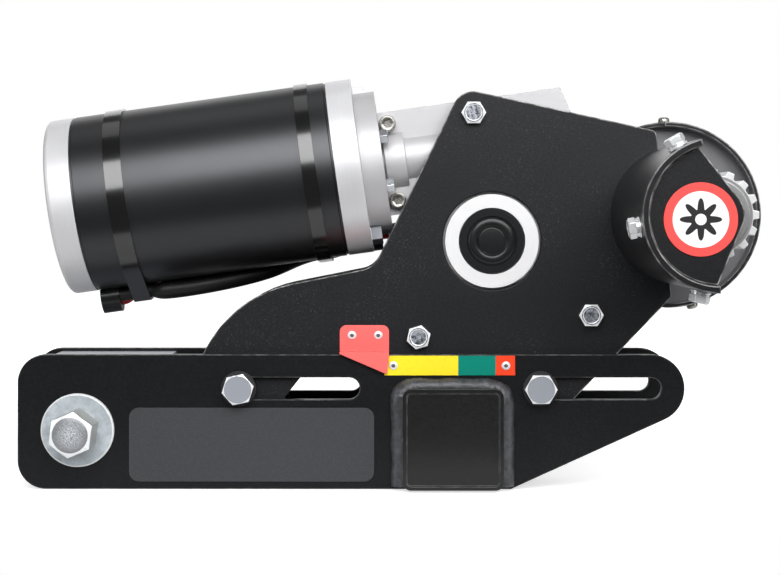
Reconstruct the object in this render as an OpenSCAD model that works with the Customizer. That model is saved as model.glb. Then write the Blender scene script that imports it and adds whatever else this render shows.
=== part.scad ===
// Caravan motor mover, one side: a drive unit with motor, gears and tyre roller that slides on its base.
// Millimetres, Z up. The origin is the centre of the crossbar socket, midway between the base plates.
// +X points at the tyre, +Y away from the roller, along the crossbar.

/* [Base] */
// Length of the base plates
base_len = 400; // [396:1:404]
// Left end of the base plates
base_left = -261; // [-265:1:-257]
// Underside of the base plates
base_bottom = -31; // [-33:1:-31]
// Outer distance across the two base plates
base_depth = 61; // [61:1:64]
// Thickness of every plate
plate_t = 5; // [4.5:0.5:5]
// Corner radius at the left end
corner_r = 17; // [14:1:19]
// Radius of the right nose, round the slot line
nose_r = 20.4; // [19:0.2:22]
// Slant of the lower right edge
slant_deg = 24.4; // [22:0.2:27]
// Width of the guide slots
slot_w = 13; // [12.6:0.1:14]
// Height of the guide slots
slot_z = 29.3; // [28:0.1:31]
// Left guide bolt with the drive unit drawn back
guide_x = -128.2; // [-130:0.2:-126]
// Distance between the guide bolts
guide_spacing = 180.7; // [178:0.1:183]
// Travel of the drive unit
travel = 65; // [60:1:65]
// Play at the slot ends
slot_end_play = 1; // [0.5:0.1:1.2]
// Right end of the top web
web_right = -172; // [-180:1:-168]
// Thickness of the top web
web_t = 4; // [3:0.5:5]
// Drop of the web below the plate tops
web_drop = 2; // [1:0.5:3]

/* [Crossbar sleeve] */
// Outer width of the square sleeve
sleeve_w = 60; // [58:0.5:60]
// Wall of the sleeve
sleeve_wall = 4; // [3:0.5:5]
// Outer corner radius of the sleeve
sleeve_r = 5; // [4.5:0.5:6]
// Reach of the sleeve in front of the base
sleeve_front = 10.6; // [9:0.2:12]
// Reach of the sleeve behind the base
sleeve_rear = 46; // [42:1:55]
// Thickness of the cap head
cap_head = 3; // [2:0.5:4]
// Depth of the cap insert
cap_insert = 14; // [10:1:16]
// Inner corner radius of the cap insert
cap_inner_r = 0.5; // [0.5:0.1:1]
// Wall of the cap insert
cap_wall = 2.5; // [2:0.5:3]
// Side weld leg
weld_side = 8; // [6:0.5:9]
// Top weld leg
weld_top = 5.5; // [4:0.5:7]
// Radius of the clamp bolt holes
clamp_hole_r = 5.25; // [4.5:0.25:6]
// Distance between the clamp bolt holes
clamp_spacing = 24; // [20:1:26]

/* [Label and scale] */
// Left edge of the bare label
label_x = -194; // [-196:0.5:-190]
// Lower edge of the bare label
label_z = -26.5; // [-28:0.5:-25]
// Label width
label_w = 147; // [140:1:150]
// Label height
label_h = 44.3; // [40:0.1:46]
// Label corner radius
label_r = 6; // [4:0.5:8]
// Thickness of label and scale
film_t = 0.6; // [0.4:0.1:0.8]
// Left edge of the scale strip
scale_x = -41; // [-43:0.5:-39]
// Scale strip width
scale_w = 78.4; // [76:0.2:80]
// Gap from the top weld to the scale strip
scale_gap = 1.7; // [1:0.1:3]
// Gap from the scale to the plate top
scale_drop = 0.7; // [0.5:0.1:1]
// Inset of the scale rivets
scale_rivet_in = 5.5; // [4.5:0.5:7]
// Rivet head radius
rivet_r = 2.6; // [2:0.1:3]
// Rivet head height
rivet_h = 1; // [0.6:0.1:1.2]

/* [Engagement] */
// Engagement shaft position along the base
shaft_x = -224.7; // [-226:0.1:-222]
// Engagement shaft height
shaft_z = 4.4; // [3:0.1:6]
// Engagement shaft radius
shaft_r = 8; // [7.5:0.1:8.4]
// Engagement hexagon across flats
hex_af = 24; // [22:0.5:24]
// Engagement hexagon length
hex_len = 25; // [22:0.5:28]
// Turn of the hexagon at rest
hex_turn = 23; // [0:1:30]
// Rear hexagon across flats
rear_hex_af = 13; // [12:0.5:13]
// Rear hexagon length
rear_hex_len = 16; // [12:1:20]
// Washer radius
washer_r = 22; // [20:0.5:23]
// Washer thickness
washer_t = 3; // [2.5:0.1:3.5]
// Bush outer radius
bush_r = 12; // [11:0.5:13]
// Bush flange radius
bush_flange_r = 15; // [14:0.5:17]
// Bush flange thickness
bush_flange_t = 2; // [1.5:0.5:2.5]
// Bevel gear teeth
bevel_teeth = 16; // [16:1:16]
// Bevel pitch radius at the large end
bevel_r = 16; // [15.5:0.1:16.5]
// Bevel face along its own axis
bevel_face = 5.5; // [5:0.1:5.6]
// Bevel tooth height above the pitch circle
bevel_add = 1.8; // [1.6:0.1:1.8]
// Bevel tooth depth below the pitch circle
bevel_ded = 2.5; // [2.5:0.1:2.7]
// Bevel hub radius
bevel_hub_r = 11.5; // [10.5:0.5:11.5]
// Bevel hub length
bevel_hub = 5; // [4:0.5:5.5]
// Spindle thread radius
spindle_r = 8; // [7.5:0.1:8.4]
// Spindle journal radius
journal_r = 6; // [5.5:0.1:6.4]
// Right end of the spindle
spindle_end = -47; // [-50:1:-46]
// Bearing block thickness
block_t = 12; // [10:1:13]
// Bearing block height
block_h = 30; // [26:1:32]
// Spindle collar radius
collar_r = 10; // [9.5:0.5:11]
// Spindle collar length
collar_t = 5; // [4:0.5:6]
// Spindle nut length
nut_len = 20; // [18:1:22]
// Spindle nut height
nut_h = 24; // [22:1:25]

/* [Cheeks] */
// Gap between the base plates and the cheeks
slide_gap = 0.5; // [0.4:0.1:0.6]
// Top corner bolt
top_bolt = [12.7, 194.8];
// Top corner radius
top_r = 13; // [12:0.5:14]
// Lean of the left cheek edge
left_lean = 63.9; // [63.4:0.1:64.4]
// Fall of the top edge
top_fall = 12.4; // [12:0.1:13]
// Right edge at the top
right_top_x = 122.7; // [121:0.2:124]
// Lower right corner
low_right = [132, 84];
// Slant of the lower right edge
low_slant = 46.3; // [45.8:0.1:46.8]
// Right leg underside
right_leg_z = 13; // [11:0.5:15]
// Left shoulder arc radius
shoulder_r = 76; // [75:0.5:77]
// Left shoulder arc centre
shoulder = [-81.5, 17.4];
// Slope of the shoulder top edge
shoulder_slope = 11.3; // [11:0.1:12]
// Fillet above the shoulder
waist_r = 15; // [13:1:17]
// Left leg underside
left_leg_z = -12; // [-14:1:-10]
// Cut-out left edge
gap_left = -101; // [-103:1:-99]
// Cut-out right edge
gap_right = 33; // [32.5:0.5:35]
// Cut-out top
gap_top = 42; // [40:1:43]
// Cut-out corner radius
gap_r = 8; // [6:1:10]
// Cheek bulge round the roller
bulge_r = 30; // [28:1:32]
// Small corner radius
small_r = 4; // [3:0.5:5]
// Left lower cheek bolt
low_bolt_a = [-20.4, 59.9];
// Right lower cheek bolt
low_bolt_b = [83.2, 73.1];
// Shield hole in the cheek for the roller shaft
shaft_hole_r = 14; // [12:1:15]

/* [Fasteners] */
// Small hexagon across flats, M8
m8_af = 13; // [12:0.5:13]
// Small hexagon head height
m8_head = 5.3; // [4.5:0.1:6]
// Small bolt radius
m8_r = 4; // [3.8:0.1:4]
// Guide bolt across flats, M10
m10_af = 17; // [16:0.5:17]
// Guide bolt head height
m10_head = 6.4; // [6:0.1:7]
// Guide bolt radius
m10_r = 5; // [4.8:0.1:5]
// Turn of the guide bolt heads
guide_turn = 12; // [0:1:30]
// Depth that bolts run into their spacers
bolt_in = 12; // [8:1:14]
// Spacer radius
spacer_r = 9; // [8:0.5:10]
// Guide bush flange radius
guide_flange_r = 10.5; // [9.8:0.1:11.5]
// Guide bush flange thickness
guide_flange_t = 1.5; // [1.2:0.1:2]
// Socket screw radius
m6_r = 3; // [2.8:0.1:3]
// Shield bolt across flats, M6
m6_af = 10; // [9.5:0.5:10]
// Shield bolt head height
m6_hex_head = 4.2; // [4:0.1:4.5]
// Socket screw head radius
m6_head_r = 5; // [4.5:0.1:5.2]
// Socket screw head height
m6_head = 6; // [5:0.5:6]

/* [Pointer] */
// Pointer left edge
pointer_x = -67.8; // [-70:0.2:-66]
// Pointer width
pointer_w = 29.7; // [28:0.1:31]
// Pointer top
pointer_top = 67; // [65:0.5:69]
// Pointer tip
pointer_tip = 38; // [37:0.5:40]
// Pointer sheet thickness
pointer_t = 1.2; // [1:0.1:1.3]
// Pointer rivets from its left edge
pointer_rivets_at = [7.4, 23.2];
// Pointer rivets below its top
pointer_rivet_drop = 6; // [5:0.5:7]
// Pointer corner radius
pointer_r = 4; // [3:0.5:5]

/* [Motor] */
// Rise of the motor axis
tilt = 8; // [7.5:0.1:8.5]
// Motor radius
motor_r = 53.5; // [52:0.5:54]
// Motor wall
motor_wall = 4; // [3:0.5:4.5]
// From the worm wheel's middle to the adapter flange
neck_reach = 58.1; // [57:0.1:60]
// Can length
can_len = 155.6; // [155:0.1:156.2]
// Radius of the end cap's edge
cap_round_r = 3; // [2.5:0.5:4]
// Floor of the end cap
cap_floor = 4; // [3.5:0.5:5]
// Wall round the end cap bearing
bearing_wall = 4; // [3:0.5:5]
// Floor of the front ring
ring_floor = 3; // [2.5:0.5:4]
// End cap length
end_cap_len = 15.6; // [15:0.1:17]
// Front ring length
ring_len = 15.3; // [15:0.1:16]
// Turn of the front ring lugs
lugs_at = [244, 64];
// Front ring lug width
lug_w = 8; // [7:0.5:9]
// Adapter flange radius
flange_r = 44; // [42.5:0.5:44]
// Adapter flange length
flange_len = 13.3; // [12:0.1:14]
// Floor of the adapter flange
flange_floor = 4; // [3:0.5:5]
// Adapter flange bore
flange_bore = 20; // [18:1:22]
// Flange screw circle
flange_screw_r = 28; // [27.5:0.1:28.5]
// Angles of the flange screws
flange_screws_at = [32, 148, 212, 328];
// Flange screw radius, M5
m5_r = 2.5; // [2.3:0.1:2.5]
// Flange screw across flats
m5_af = 8; // [7.5:0.5:8]
// Flange screw head height
m5_head = 5; // [4.5:0.1:5.2]
// Motor shaft radius
rotor_r = 6; // [5.8:0.1:6]
// Armature radius
armature_r = 33; // [31:0.5:34]
// Gap from the can's left end to the armature's core
core_in_left = 33.3; // [31:0.1:36]
// Gap from the armature's core to the can's right end
core_in_right = 22.3; // [20:0.1:26]
// Winding end radius
winding_r = 29; // [27:0.5:30]
// Winding end length
winding_len = 12; // [10:1:13]
// Gap from the can's end to the commutator
comm_gap = 3; // [2:0.5:4]
// Commutator radius
comm_r = 19; // [18:0.5:20]
// Commutator length
comm_len = 14; // [12:1:15]
// Brush width and thickness
brush_size = [8, 11, 15];
// Gap between commutator and brush
brush_gap = 0.1; // [0.05:0.05:0.2]
// Magnet inner radius
magnet_r = 36; // [35:0.5:38]
// Turn of the first magnet
magnet_from = 10; // [0:1:20]
// Magnet arc
magnet_deg = 70; // [60:1:76]
// Left strap from the can's left end
strap_a_in = 25.9; // [25.7:0.1:26.2]
// Right strap from the can's right end
strap_b_in = 15.3; // [14.8:0.1:15.9]
// Left strap width
strap_aw = 10.5; // [9:0.5:11]
// Right strap width
strap_bw = 8.3; // [7:0.1:9]
// Strap thickness
strap_t = 1.2; // [1:0.1:1.4]
// Strap clearance
strap_fit = 0.1; // [0.08:0.01:0.15]
// Turn of the buckles round the motor
buckle_deg = 128; // [124:1:132]
// Strap clearance round the leads
lead_fit = 0.6; // [0.5:0.1:0.8]
// Strap buckle size
buckle = [8, 14, 5];
// Lead radius
lead_r = 4; // [3.8:0.1:4]
// Gland from the can's left end
gland_in = 0.8; // [0.6:0.1:1.2]
// Gland length along the can
gland_len = 11.7; // [11:0.1:12]
// Gland radius
gland_r = 9.5; // [9.4:0.1:10]
// Turn of the gland round the motor, from below
gland_turn = 4.1; // [3.9:0.1:4.3]
// Lift of the gland's axis off the can
gland_lift = 5.4; // [5.2:0.1:5.6]
// Connector radius
plug_r = 5.5; // [5:0.1:6]
// Connector length
plug_len = 18; // [14:1:20]

/* [Gears] */
// Layshaft centre
layshaft = [23.8, 117.6];
// Worm module
worm_module = 2.25; // [2.25:0.05:2.25]
// Worm wheel teeth
wheel_teeth = 40; // [40:1:40]
// Worm pitch radius
worm_r = 11.5; // [11.5:0.1:11.5]
// Worm starts
worm_starts = 2; // [2:1:2]
// Worm length
worm_len = 46; // [42:1:50]
// Worm wheel width
wheel_w = 12; // [10:1:13]
// Spur module
spur_module = 2; // [2:0.1:2]
// Pinion teeth
pinion_teeth = 16; // [16:1:16]
// Idler teeth
idler_teeth = 24; // [24:1:24]
// Roller gear teeth
final_teeth = 50; // [50:1:50]
// Spur gear width
spur_w = 12; // [10:1:12]
// Tooth depth below the pitch circle, in modules
ded_share = 1.25; // [1.25:0.01:1.3]
// Extra centre distance for tooth play
mesh_play = 0.15; // [0.1:0.05:0.2]
// Share by which teeth are thinned
tooth_thin = 0.12; // [0.1:0.01:0.2]
// Layshaft radius at the bearings
lay_r = 8.5; // [8:0.1:8.5]
// Layshaft radius in the wheel
lay_hub_r = 10; // [9.5:0.1:10]

/* [Gear housing] */
// Half thickness of the slab
slab_half = 12; // [11:0.5:12.5]
// Slab top above the motor axis
slab_top = 30; // [29:0.5:31]
// Right end of the slab
slab_right = 61.5; // [60:0.5:62]
// Upper right corner cut of the slab
slab_cut = [7, 24];
// Lower end of the slab's right edge
slab_right_low = -22; // [-24:1:-20]
// Lower end of the slab's left edge
slab_left_low = -33; // [-35:1:-31]
// Lower edge of the slab, right to left
slab_lower = [[36, -50], [-30, -52], [-42, -33]];
// Gap from the flange to the housing screw heads
housing_screw_gap = 0.6; // [0.4:0.1:1]
// Heights of the housing screws at the flange
housing_screws_left = [22.5, -24.5];
// Housing screws at the worm chamber
housing_screws_right = [[22, 20], [47.1, -8]];
// Neck radius at the flange
neck_r = 17.6; // [17.2:0.1:17.8]
// Length of the wide neck
neck_len = 14; // [13:0.5:15]
// Worm chamber radius
chamber_r = 17.2; // [16.8:0.1:17.6]
// Left end of the worm chamber's bore
chamber_left = -31; // [-33:0.5:-30]
// Right end of the worm chamber
chamber_right = 42; // [41:0.5:44]
// End wall of the worm chamber
chamber_wall = 3; // [2.5:0.5:4]
// Worm wheel drum radius
drum_r = 55; // [54:0.5:57]
// Drum half width
drum_half = 14; // [13:0.5:15]
// Bearing boss radius
boss_r = 28.2; // [27.5:0.1:28.6]
// Gap round the boss in the cheek
boss_gap = 1.3; // [1:0.1:1.6]
// Bearing boss reach past the cheek
boss_out = 0.7; // [0.5:0.1:1]
// Boss shoulder radius
shoulder_boss_r = 34; // [32:0.5:36]
// Layshaft bearing outer radius
lay_bearing_r = 20; // [19:0.5:20]
// Layshaft bearing width
lay_bearing_w = 12; // [10:1:12]
// Shaft bearing outer radius
rotor_bearing_r = 14; // [14:0.5:14]
// Shaft bearing width
rotor_bearing_w = 8; // [7:0.5:8]
// Rubber cap ring radius
rubber_ring_r = 14.4; // [14:0.1:15]
// Rubber cap groove radius
rubber_groove_r = 11.6; // [11:0.1:12]
// Rubber cap button radius
rubber_button_r = 8.4; // [8:0.1:9]
// Rubber cap groove depth
rubber_groove = 1.2; // [0.8:0.1:1.4]
// Rubber cap edge step
rubber_step = 0.9; // [0.5:0.1:1.2]
// Rubber cap thickness
rubber_t = 3.5; // [3:0.5:4]

/* [Roller and shield] */
// Roller axis
roller_at = [136.6, 133.4];
// Roller tooth count
roller_teeth = 16; // [16:1:16]
// Roller tip radius
roller_tip = 24.5; // [24:0.1:25]
// Roller valley radius
roller_valley = 21.4; // [21:0.1:22]
// Half width of a roller tooth at its tip, of the pitch
roller_tip_share = 0.2; // [0.18:0.01:0.22]
// Half width of a roller tooth at its foot, of the pitch
roller_foot_share = 0.31; // [0.29:0.01:0.34]
// Roller front end
roller_front = -148; // [-148:1:-144]
// Gap from the roller to the front cheek
roller_gap = 3; // [2:0.5:4]
// Roller collar radius
roller_collar_r = 19; // [18:0.5:20]
// Roller collar length
roller_collar = 1.2; // [0.8:0.1:1.4]
// Roller shaft radius in the roller
roller_shaft_r = 10; // [9.5:0.1:10.5]
// Roller shaft radius in the bearings
roller_end_r = 7.5; // [7:0.1:7.5]
// Roller bearing outer radius
roller_bearing_r = 16; // [15:0.5:16]
// Outer radius of the bearing in the end plate
end_bearing_r = 11; // [10.5:0.1:11]
// Roller bearing width
roller_bearing_w = 9; // [8:0.5:9]
// Shield outer radius
shield_r = 41.3; // [40.5:0.1:42]
// Shield wall
shield_wall = 4; // [3.5:0.5:4]
// Shield front end
shield_front = -170.5; // [-172:0.5:-170]
// Shield arc start
shield_from = 104; // [102:1:106]
// Shield arc
shield_arc = 166; // [164:1:168]
// End plate recess behind the shield edge
end_recess = 5; // [4:0.5:5.5]
// End plate thickness
end_t = 15.5; // [15:0.5:15.5]
// End plate gap to the shield
end_gap = 0.3; // [0.3:0.1:0.4]
// End plate nose radius
end_nose = 13.5; // [13:0.5:14.5]
// End plate upper tip angle
end_tip_a = 106.5; // [105:0.5:108]
// End plate lower tip angle
end_tip_b = 269; // [268:0.5:270]
// Shield bolt angles
shield_bolts_at = [120, 189, 258];
// Shield bolt distance behind the shield edge
shield_bolt_in = 12.5; // [12:0.5:13]
// Shield washer thickness
shield_washer = 2.4; // [2:0.1:2.6]
// Gap from the shield bolts to the bearing
shield_bolt_gap = 3; // [2.5:0.5:4]
// Sign disc centre from the roller axis
sign_shift = [-9.9, -2.4];
// Sign disc radius
sign_r = 19.6; // [18:0.2:20]

/* [Gear case] */
// Gap from the roller gear to the dish wall
dish_gap = 3.3; // [2.5:0.1:4]
// Dish wall
dish_wall = 3; // [2.5:0.1:3.2]
// Front edge of the dish rim
rim_front = 22; // [21.5:0.5:23]
// Left end of the rim
rim_left = 134.5; // [133:0.5:136]
// Cover thickness
cover_t = 12; // [11:0.5:13]
// Dish floor thickness
floor_t = 3; // [2.5:0.5:4]
// Case radius at the layshaft
case_small_r = 24; // [23:0.5:26]
// Case depth
case_len = 20; // [19:0.5:21]
// Case rear wall
case_back = 4; // [4:0.5:5]
// Gap beside the gears
gear_side = 2; // [1.5:0.5:3]
// Inner bearing boss radius
hub_boss_r = 20; // [19:0.5:22]
// Idler spigot radius
spigot_r = 8; // [7:0.5:9]
// Case screw radius
m4_r = 2; // [1.8:0.1:2]
// Case screw head radius
m4_head_r = 3.6; // [3:0.1:3.8]
// Case screw head height
m4_head = 3.2; // [2.5:0.1:3.5]
// Case screw angles round the dish
case_screws_at = [91.5, 286];

/* [Fits] */
// Radial running fit
run_fit = 0.05; // [0.03:0.01:0.08]
// Clearance of bolts in plate holes
hole_fit = 0.3; // [0.2:0.05:0.4]
// Axial clearance beside turning faces
side_fit = 0.5; // [0.3:0.1:0.6]

/* [Hidden] */
$fn = 64;
// Small overlap for cuts that run past a face
past = 1;

// Depth positions, from the base outwards and inwards
base_face = base_depth / 2;
base_in = base_face - plate_t;
cheek_out = base_in - slide_gap;
cheek_in = cheek_out - plate_t;
film_face = -base_face - film_t;

// Base outline
nose = [base_left + base_len - nose_r, slot_z];
base_top = slot_z + nose_r;
scale_h = base_top - scale_drop - sleeve_w / 2 - weld_top - scale_gap;
slant_touch = nose + nose_r * [sin(slant_deg), -cos(slant_deg)];
slant_x = slant_touch[0] - (slant_touch[1] - base_bottom) / tan(slant_deg);
guide_bolts_at = [[guide_x, slot_z], [guide_x + guide_spacing, slot_z]];
slot_r = slot_w / 2;

// Cheek outline
left_dir = [-cos(left_lean), -sin(left_lean)];
top_left = top_bolt + top_r * [-sin(left_lean), cos(left_lean)];
top_touch = top_bolt + top_r * [sin(top_fall), cos(top_fall)];
right_top = [right_top_x, top_touch[1] - (right_top_x - top_touch[0]) * tan(top_fall)];
shoulder_touch = shoulder + shoulder_r * [-sin(shoulder_slope), cos(shoulder_slope)];
shoulder_dir = [cos(shoulder_slope), sin(shoulder_slope)];
waist = meet(shoulder_touch, shoulder_dir, top_left, left_dir);
leg_right_x = low_right[0] - (low_right[1] - right_leg_z) / tan(low_slant);
cheek_bolts_at = [top_bolt, low_bolt_a, low_bolt_b];

// Motor axis: it crosses the layshaft at the worm pair's centre distance
wheel_r = worm_module * wheel_teeth / 2;
worm_distance = wheel_r + worm_r + mesh_play;
foot = layshaft + worm_distance * [-sin(tilt), cos(tilt)];
flange_right = -neck_reach;
ring_right = flange_right - flange_len;
can_right = ring_right - ring_len;
can_left = can_right - can_len;
neck_right = flange_right + neck_len;
housing_screws_at = concat([for (w = housing_screws_left) [flange_right + m6_head_r + housing_screw_gap, w]],
    housing_screws_right);
cap_left = can_left - end_cap_len;
motor_in_r = motor_r - motor_wall;
strap_a = can_left + strap_a_in;
strap_b = can_right - strap_b_in;
gland_at = lead_point([gland_in, gland_turn, gland_lift]);
armature_left = can_left + core_in_left;
armature_len = can_len - core_in_left - core_in_right;
comm_left = can_left + comm_gap;
rotor_right = chamber_right - chamber_wall;
rotor_left = cap_left + cap_floor;
worm_lead = PI * worm_module * worm_starts;

// Spur train
pinion_r = spur_module * pinion_teeth / 2;
idler_r = spur_module * idler_teeth / 2;
final_r = spur_module * final_teeth / 2;
dish_r = final_r + spur_module + dish_gap + dish_wall;
spur_span = norm(roller_at - layshaft);
spur_dir = (roller_at - layshaft) / spur_span;
first_span = pinion_r + idler_r + mesh_play;
second_span = idler_r + final_r + mesh_play;
idler_along = (first_span * first_span - second_span * second_span + spur_span * spur_span) / (2 * spur_span);
idler_aside = sqrt(max(0, first_span * first_span - idler_along * idler_along));
idler_at = layshaft + idler_along * spur_dir + idler_aside * [spur_dir[1], -spur_dir[0]];
first_deg = heading(layshaft, idler_at);
second_deg = heading(idler_at, roller_at);
idler_phase = first_deg + 180 + 180 / idler_teeth;
idler_share = (second_deg - idler_phase) / (360 / idler_teeth);
final_phase = second_deg + 180 + (idler_share + 0.5) * 360 / final_teeth;

// Gear case depth
cover_front = cheek_out;
cover_rear = cover_front + cover_t;
case_rear = cover_rear + case_len;
gear_front = cover_rear + gear_side;
bearing_rear = cover_rear;

// Shield and end plate
end_front = shield_front + end_recess;
end_rear = end_front + end_t;
shield_in_r = shield_r - shield_wall;
end_r = shield_in_r - end_gap;
roller_rear = -cheek_out - roller_gap;

// Engagement gear train
spindle_bevel_x = shaft_x + bevel_r;
block_left = spindle_bevel_x + bevel_hub + side_fit;
block_right = block_left + block_t;
nut_x = guide_x;

// Wheel and worm tooth heights
worm_add = worm_module;
worm_ded = ded_share * worm_module;
pressure = 20;

// Lead routes: along the can from its left end, turn round it from below, lift off its face
red_path = [[8, 8, 7.7], [13.5, 8, 7.7], [16.5, 8.6, 6.6], [20.2, 9, 4.6], [31.8, 9, 4.6],
    [42.3, 10.7, 5.5], [72.3, 15.4, 6.7], [102.3, 25, 6.5], [124, 36.5, 5.4], [135.4, 38.5, 4.6],
    [145.6, 38.5, 4.6], [153, 43.4, 6.2], [181, 43.4, 6.2]];
black_path = [[8, 0, 4.7], [14, 0, 4.7], [20.3, 0, 4.6], [31.8, 0, 4.6], [42.3, 0.5, 7.2],
    [72.3, 5.2, 7.2], [102.3, 15.5, 6.3], [124, 27.6, 5.4], [135.4, 29.5, 4.6], [145.6, 29.5, 4.6],
    [152, 33, 5.2], [158.3, 33, 5.2]];
red_route = [for (p = red_path) lead_point(p)];
black_route = [for (p = black_path) lead_point(p)];
route_steps = 4;
lead_sides = 10;
// Turn between the points along an arc of a plate's outline
arc_deg = 6;
// Route points that the straps hold
red_held = [3, 9];
black_held = [2, 8];
// Angles of four like pieces round an axis
quarters = [45, 135, 225, 315];
// Mesh counts of the twisted and wrapped shapes
worm_slices = 72;
wheel_slices = 3;
coarse = 12;
strap_sides = 96;
lead_round = 24;

function meet(p, d, q, e) = p + d * (cross(q - p, e) / cross(d, e));
function heading(p, q) = atan2(q[1] - p[1], q[0] - p[0]);
function turned(a) = [cos(a), sin(a)];
// Points along an arc, and round a corner where a clockwise outline turns from heading a to heading b
function arc(mid, r, a, b) = let (n = ceil(abs(b - a) / arc_deg))
    [for (k = [0:n]) mid + r * turned(a + (b - a) * k / n)];
function corner(at, a, b, r) = let (turn = ((a - b) % 360 + 360) % 360)
    arc(at - r * tan(turn / 2) * turned(a) - r * turned(a + 90), r, a + 90, a + 90 - turn);
function involute_deg(a) = tan(a) * 180 / PI - a;
function tooth_half(r, rp, rb, half) = half + involute_deg(pressure)
    - (r > rb ? involute_deg(acos(rb / r)) : 0);
function gear_points(teeth, rp, add, ded, thin) =
    let (rb = rp * cos(pressure), half = 90 / teeth * (1 - thin), rf = rp - ded, ra = rp + add,
        radii = [rf, max(rf, rb), rp, (rp + ra) / 2, ra])
    [for (i = [0:teeth - 1]) each concat(
        [for (r = radii) r * turned(i * 360 / teeth - tooth_half(r, rp, rb, half))],
        [for (k = [len(radii) - 1:-1:0]) radii[k] * turned(i * 360 / teeth + tooth_half(radii[k], rp, rb, half))])];
function worm_half(r) = (worm_lead / worm_starts / 4 * (1 - tooth_thin) - (r - worm_r) * tan(pressure))
    * 360 / worm_lead;
function worm_points() =
    let (radii = [worm_r - worm_ded, worm_r, worm_r + worm_add], step = 360 / worm_starts)
    [for (s = [0:worm_starts - 1]) each concat(
        [for (r = radii) r * turned(s * step - worm_half(r))],
        [radii[2] * turned(s * step)],
        [for (k = [2:-1:0]) radii[k] * turned(s * step + worm_half(radii[k]))],
        [for (k = [1:3]) let (a = worm_half(radii[0])) radii[0] * turned(s * step + a + (step - 2 * a) * k / 4)])];
function spline(p, i, t) =
    let (a = p[max(i - 1, 0)], b = p[i], c = p[i + 1], d = p[min(i + 2, len(p) - 1)])
    0.5 * (2 * b + (c - a) * t + (2 * a - 5 * b + 4 * c - d) * t * t + (3 * b - a - 3 * c + d) * t * t * t);
function lead_point(p) = let (r = motor_r + p[2])
    [can_left + p[0], r * sin(p[1]), -r * cos(p[1])];
function route_points(p) = concat(
    [for (i = [0:len(p) - 2]) for (k = [0:route_steps - 1]) spline(p, i, k / route_steps)], [p[len(p) - 1]]);

// A flat shape drawn in X and Z, thickened along Y
module slab_y(y0, y1) {
    translate([0, y1, 0]) rotate([90, 0, 0]) linear_extrude(y1 - y0) children();
}
module rod_y(at, r, y0, y1) {
    translate([at[0], y1, at[1]]) rotate([90, 0, 0]) cylinder(r = r, h = y1 - y0);
}
module hex_y(at, af, y0, y1, turn) {
    translate([at[0], y1, at[1]]) rotate([90, 0, 0]) rotate([0, 0, turn])
        cylinder(r = af / sqrt(3), h = y1 - y0, $fn = 6);
}
module rod_x(r, x0, x1) {
    translate([x0, 0, 0]) rotate([0, 90, 0]) cylinder(r = r, h = x1 - x0);
}
// The motor's own frame: X along its axis, origin above the worm wheel
module motor_frame() {
    translate([foot[0], 0, foot[1]]) rotate([0, -tilt, 0]) children();
}
module rounded(w, h, r) {
    translate([r, 0]) square([w - 2 * r, h]);
    translate([0, r]) square([w, h - 2 * r]);
    for (x = [r, w - r], y = [r, h - r]) translate([x, y]) circle(r);
}
module square_tube(w, r) {
    translate([-w / 2, -w / 2]) rounded(w, w, r);
}

module base_outline() {
    difference() {
        union() {
            polygon([[base_left + corner_r, base_bottom], [slant_x, base_bottom], slant_touch, nose,
                [nose[0], base_top], [base_left + corner_r, base_top],
                [base_left, base_top - corner_r], [base_left, base_bottom + corner_r]]);
            translate(nose) circle(nose_r);
            for (z = [base_bottom + corner_r, base_top - corner_r])
                translate([base_left + corner_r, z]) circle(corner_r);
        }
        for (g = guide_bolts_at) {
            translate([g[0] - slot_end_play, g[1] - slot_r]) square([travel + 2 * slot_end_play, slot_w]);
            for (x = [-slot_end_play, travel + slot_end_play]) translate(g + [x, 0]) circle(slot_r);
        }
        translate([shaft_x, shaft_z]) circle(bush_r);
        square_tube(sleeve_w, sleeve_r);
    }
}
module base_front_plate() {
    color("#1b1b1d") slab_y(-base_face, -base_in) base_outline();
}
module base_rear_plate() {
    color("#1b1b1d") slab_y(base_in, base_face) base_outline();
}
module base_top_web() {
    color("#b9babb")
        translate([base_left + corner_r, -base_in, base_top - web_drop - web_t])
            cube([web_right - base_left - corner_r, 2 * base_in, web_t]);
}
module crossbar_sleeve() {
    color("#1b1b1d") difference() {
        slab_y(-base_face - sleeve_front, base_face + sleeve_rear) difference() {
            square_tube(sleeve_w, sleeve_r);
            square_tube(sleeve_w - 2 * sleeve_wall, sleeve_r - sleeve_wall);
        }
        for (k = [-0.5, 0.5])
            translate([0, base_face + sleeve_rear / 2 + k * clamp_spacing, -sleeve_w / 2 - past])
                cylinder(r = clamp_hole_r, h = sleeve_wall + 2 * past);
    }
}
// Fillet welds where the sleeve leaves the front plate
module sleeve_welds() {
    half = sleeve_w / 2;
    run = half - sleeve_r;
    color("#202022") {
        for (side = [-1, 1])
            translate([0, 0, -run]) linear_extrude(2 * run)
                polygon([[side * half, -base_face], [side * (half + weld_side), -base_face],
                    [side * half, -base_face - weld_side]]);
        translate([run, 0, 0]) rotate([0, -90, 0]) linear_extrude(2 * run)
            polygon([[half, -base_face], [half + weld_top, -base_face], [half, -base_face - weld_top]]);
    }
}
module crossbar_end_cap() {
    inner = sleeve_w - 2 * sleeve_wall;
    face = -base_face - sleeve_front;
    color("#151516") {
        slab_y(face - cap_head, face) square_tube(sleeve_w, sleeve_r);
        slab_y(face, face + cap_insert) difference() {
            square_tube(inner - 2 * hole_fit, sleeve_r - sleeve_wall);
            square_tube(inner - 2 * hole_fit - 2 * cap_wall, cap_inner_r);
        }
    }
}
module blank_label() {
    color("#3a3b3d") slab_y(film_face, -base_face) translate([label_x, label_z]) rounded(label_w, label_h, label_r);
}
module scale_strip() {
    color("#d8c400") slab_y(film_face, -base_face)
        translate([scale_x, base_top - scale_drop - scale_h]) square([scale_w, scale_h]);
}
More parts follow.
